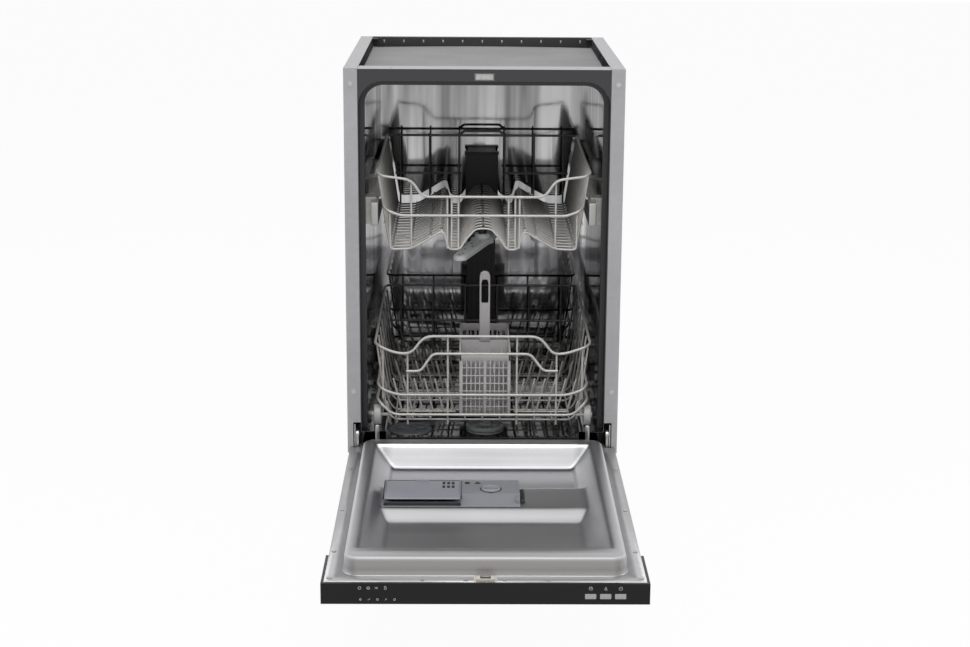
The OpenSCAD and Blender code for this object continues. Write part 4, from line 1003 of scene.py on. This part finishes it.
# Oval caps close the ends of the upper rails.
rail_pale = moulded("rail_cap_moulding", tone(182, 182, 180), tone(164, 164, 163), roughness=0.4)
caps = bmesh.new()
for side in (-1, 1):
    rounded_box(caps, (side * 178 - 6, 26, 556), (side * 178 + 6, 32.5, 594), 2.9, 4)
piece("rail_caps", "rails", rail_pale, caps, ["rail_end_caps"])

# ---- Detergent dispenser ----
# A grey moulding sunk in the liner's band. Its lid is hinged along the rear edge, and the ridged
# dial beside it closes the rinse-aid tank.

dispenser_grey = moulded("dispenser_grey", tone(134, 136, 141), tone(118, 120, 125), roughness=0.42)
dress(dispenser_grey, "dispenser_body")
lid_grey = moulded("lid_grey", tone(146, 147, 155), tone(132, 133, 141), roughness=0.36)
# Painted shade: a near-black finish fills the gaps round the lid, its vent slots, a pocket beside
# the dispenser, a ring round the dial and the latch's slot; it also gives two small dark marks on
# the dispenser's pad.
painted_shade_and_marks = moulded("painted_gap_shade_and_marks", tone(34, 34, 36), tone(24, 24, 26))

lid = bmesh.new()
rounded_box(lid, (-150.2, -296.6, 200.2), (-35.8, -219, 203), 1.1, 3)
rounded_box(lid, (-150.2, -297.4, 200.2), (-35.8, -290, 202.4), 1.1, 3)
rounded_box(lid, (-104, -221, 201), (-84, -217.4, 204.6), 0.8)
piece("dispenser_lid_plate", "dispenser_lid", lid_grey, lid, ["dispenser_lid"])
# Painted shade in the lid's vent slots.
vents = bmesh.new()
for x in (-61, -53.8, -46.8):
    for y in (-229, -246):
        rounded_box(vents, (x - 2.3, y - 5.6, 202.6), (x + 2.3, y + 5.6, 203.08), 0.2)
piece("dispenser_lid_vents", "dispenser_lid", painted_shade_and_marks, vents)

dial_x, dial_y = 11.0, -258.5
# Painted shade in the gaps round the lid, a pocket beside the dispenser and a ring round the dial,
# and two small dark marks on the pad.
dispenser_gap_shade_and_marks = bmesh.new()
rounded_box(dispenser_gap_shade_and_marks, (-151.6, -301, 192.4), (-34.6, -298.2, 196.2), 0.5)
rounded_box(dispenser_gap_shade_and_marks, (-152.9, -297, 200.6), (-151.1, -218, 203.2), 0.4)
rounded_box(dispenser_gap_shade_and_marks, (-34.6, -297, 200.8), (-33.4, -217, 203.1), 0.3)
rounded_box(dispenser_gap_shade_and_marks, (55.2, -284, 189), (63, -232, 195), 2.4, 3)
turned(dispenser_gap_shade_and_marks, [(14.9, 202.6), (16.6, 202.6), (16.6, 203.95), (14.9, 203.95)],
       place(dial_x, dial_y, 0))
for x, sides, half_width in ((-25, 20, 4.2), (-9, 3, 6.0)):
    bmesh.ops.create_cone(
        dispenser_gap_shade_and_marks, cap_ends=True, segments=sides, radius1=half_width / 1000, radius2=half_width / 1000,
        depth=0.0008, matrix=Matrix.Translation(place(x, -231, 203.75)),
    )
piece("dispenser_seams", "door", painted_shade_and_marks, dispenser_gap_shade_and_marks)
pads = bmesh.new()
rounded_box(pads, (-31.5, -275, 202.4), (52, -217.5, 203.7), 0.6)
rounded_box(pads, (48, -296, 190), (54.6, -217, 201.6), 2.6, 3)
piece("dispenser_pads", "door", dispenser_grey, pads)

dial = bmesh.new()
turned(dial, [(8, 193.4), (8, 203.8), (14.4, 203.8), (14.4, 205), (13.4, 206.2), (11.6, 206.4),
              (11, 205.2), (2, 205.2), (2, 193.4)], place(dial_x, dial_y, 0))
cylinder(dial, dial_x, dial_y, 203.8, 205.3, 4)
rounded_box(dial, (dial_x - 11.5, dial_y - 1.6, 204.4), (dial_x + 11.5, dial_y + 1.6, 207.2), 0.7)
piece("rinse_dial", "rinse_cap", lid_grey, dial, ["rinse_cap"])

# ---- Controls ----
# A glossy black strip along the door's top edge, with three pale push buttons and small round
# marks. The latch's catch stands behind its middle, in a slot of its cream housing.

gloss_black = moulded(
    "black_gloss", tone(26, 26, 28), tone(19, 19, 21), roughness=0.24, Specular_IOR_Level=0.25,
)
dress(gloss_black, "control_panel")
lacquer = moulded("board_lacquer", tone(30, 92, 52), tone(20, 70, 38), roughness=0.3)
dress(lacquer, "control_board")
cream = moulded("latch_moulding", tone(204, 199, 188), tone(186, 181, 170))
latch = bmesh.new()
rounded_box(latch, (-13.6, -589.2, 184), (13.6, -578.6, 192.5), 2.4, 3)
rounded_box(latch, (-16, -588.4, 180), (16, -566, 187.2), 0.5)
piece("latch_hump", "door", cream, latch, ["latch_housing"])
# Painted shade in the latch's slot.
slot_shade = bmesh.new()
rounded_box(slot_shade, (-7.4, -588.6, 188.4), (7.4, -580.6, 192.62), 0.6)
piece("latch_slot", "door", painted_shade_and_marks, slot_shade)
catch = bmesh.new()
rounded_box(catch, (-5.8, -586, 187), (5.8, -582.4, 193.2), 0.7)
piece("latch_tongue", "latch_catch", plated, catch, ["latch_catch"])

button_grey = moulded("button_grey", tone(172, 172, 170), tone(160, 160, 158), roughness=0.4)
strip_face, button_x, button_z, button_pitch = -594.5, 143.0, 167.9, 20.4
for index, name in enumerate(("button_left", "button_middle", "button_right")):
    x = button_x + index * button_pitch
    button = bmesh.new()
    rounded_box(button, (x - 7.85, strip_face, button_z - 4),
                (x + 7.85, strip_face + 5.7, button_z + 4), 0.8, 3)
    rounded_box(button, (x - 8.8, strip_face + 5.2, button_z - 6),
                (x + 8.8, strip_face + 7.3, button_z + 6), 0.3)
    piece(name + "_key", name, button_grey, button, [name])

mark_pale = moulded("mark_paint", tone(226, 226, 226), tone(206, 206, 206))
mark_y = strip_face + 0.2
fine_line = 0.62


def ring(x, z, radius, start=0, sweep=360):
    """A thin ring, or part of one, on the strip's face."""
    count = 20
    angles = [math.radians(start + sweep * i / count) for i in range(count + (sweep < 360))]
    return (fine_line, 0.1, [
        (x + radius * math.cos(a), mark_y, z + radius * math.sin(a)) for a in angles
    ], sweep == 360)


def stroke(*points):
    return (fine_line, 0.1, [(x, mark_y, z) for x, z in points], False)


marks = [
    ring(button_x, 179.8, 2.4),
    stroke((button_x, 181.4), (button_x, 179.8), (button_x + 1.2, 179.8)),
    stroke((161.6, 177.6), (163.4, 181.8), (165.2, 177.6), (161.6, 177.6)),
    ring(button_x + 2 * button_pitch, 179.6, 2.3, 125, 290),
    stroke((button_x + 2 * button_pitch, 180), (button_x + 2 * button_pitch, 182.6)),
    ring(-171, 179.7, 2), ring(-159, 179.7, 2), stroke((-160, 178.7), (-158, 180.7)),
    stroke((-150, 180.6), (-146, 180.6)), stroke((-150, 178.8), (-146, 178.8)),
    ring(-136, 179.2, 1.5), stroke((-137.4, 182), (-134.6, 182)),
]
for column in range(5):
    x = -170 + column * 11.6
    marks += [stroke((x - 1.6, 162.2), (x + 1.6, 164.4))] if column % 2 else [ring(x, 163.2, 1.3)]
wire_piece("strip_marks", "door", mark_pale, marks)

strip_edge = moulded("strip_edge", tone(86, 86, 88), tone(70, 70, 72), roughness=0.3)
edge = bmesh.new()
rounded_box(edge, (-223.6, strip_face + 0.05, 184.9), (223.6, strip_face + 2, 186.45), 0.6)
piece("strip_edge_bevel", "door", strip_edge, edge)

# ---- Small cabinet fittings ----
# Plated lugs stand at both ends of the sill, the rear bar has plated clips along its top edge, and
# a flat black lid closes the cable box on the top sheet.

lugs = bmesh.new()
for side in (-1, 1):
    rounded_box(lugs, (side * 174.5 - 3.5, -2.6, 200), (side * 174.5 + 3.5, 2.4, 225), 1.6, 3)
piece("sill_lugs", "cabinet", plated, lugs)
slots = bmesh.new()
for column in range(11):
    rounded_box(slots, (column * 36 - 181.2, 487.7, 807), (column * 36 - 178.8, 488.3, 812), 0.1)
piece("rear_bar_slots", "cabinet", plated, slots)
box_lid = bmesh.new()
rounded_box(box_lid, (165, 47, 798.6), (199, 62, 801.4), 0.8)
piece("top_terminal_cover", "cabinet", black_plastic, box_lid)
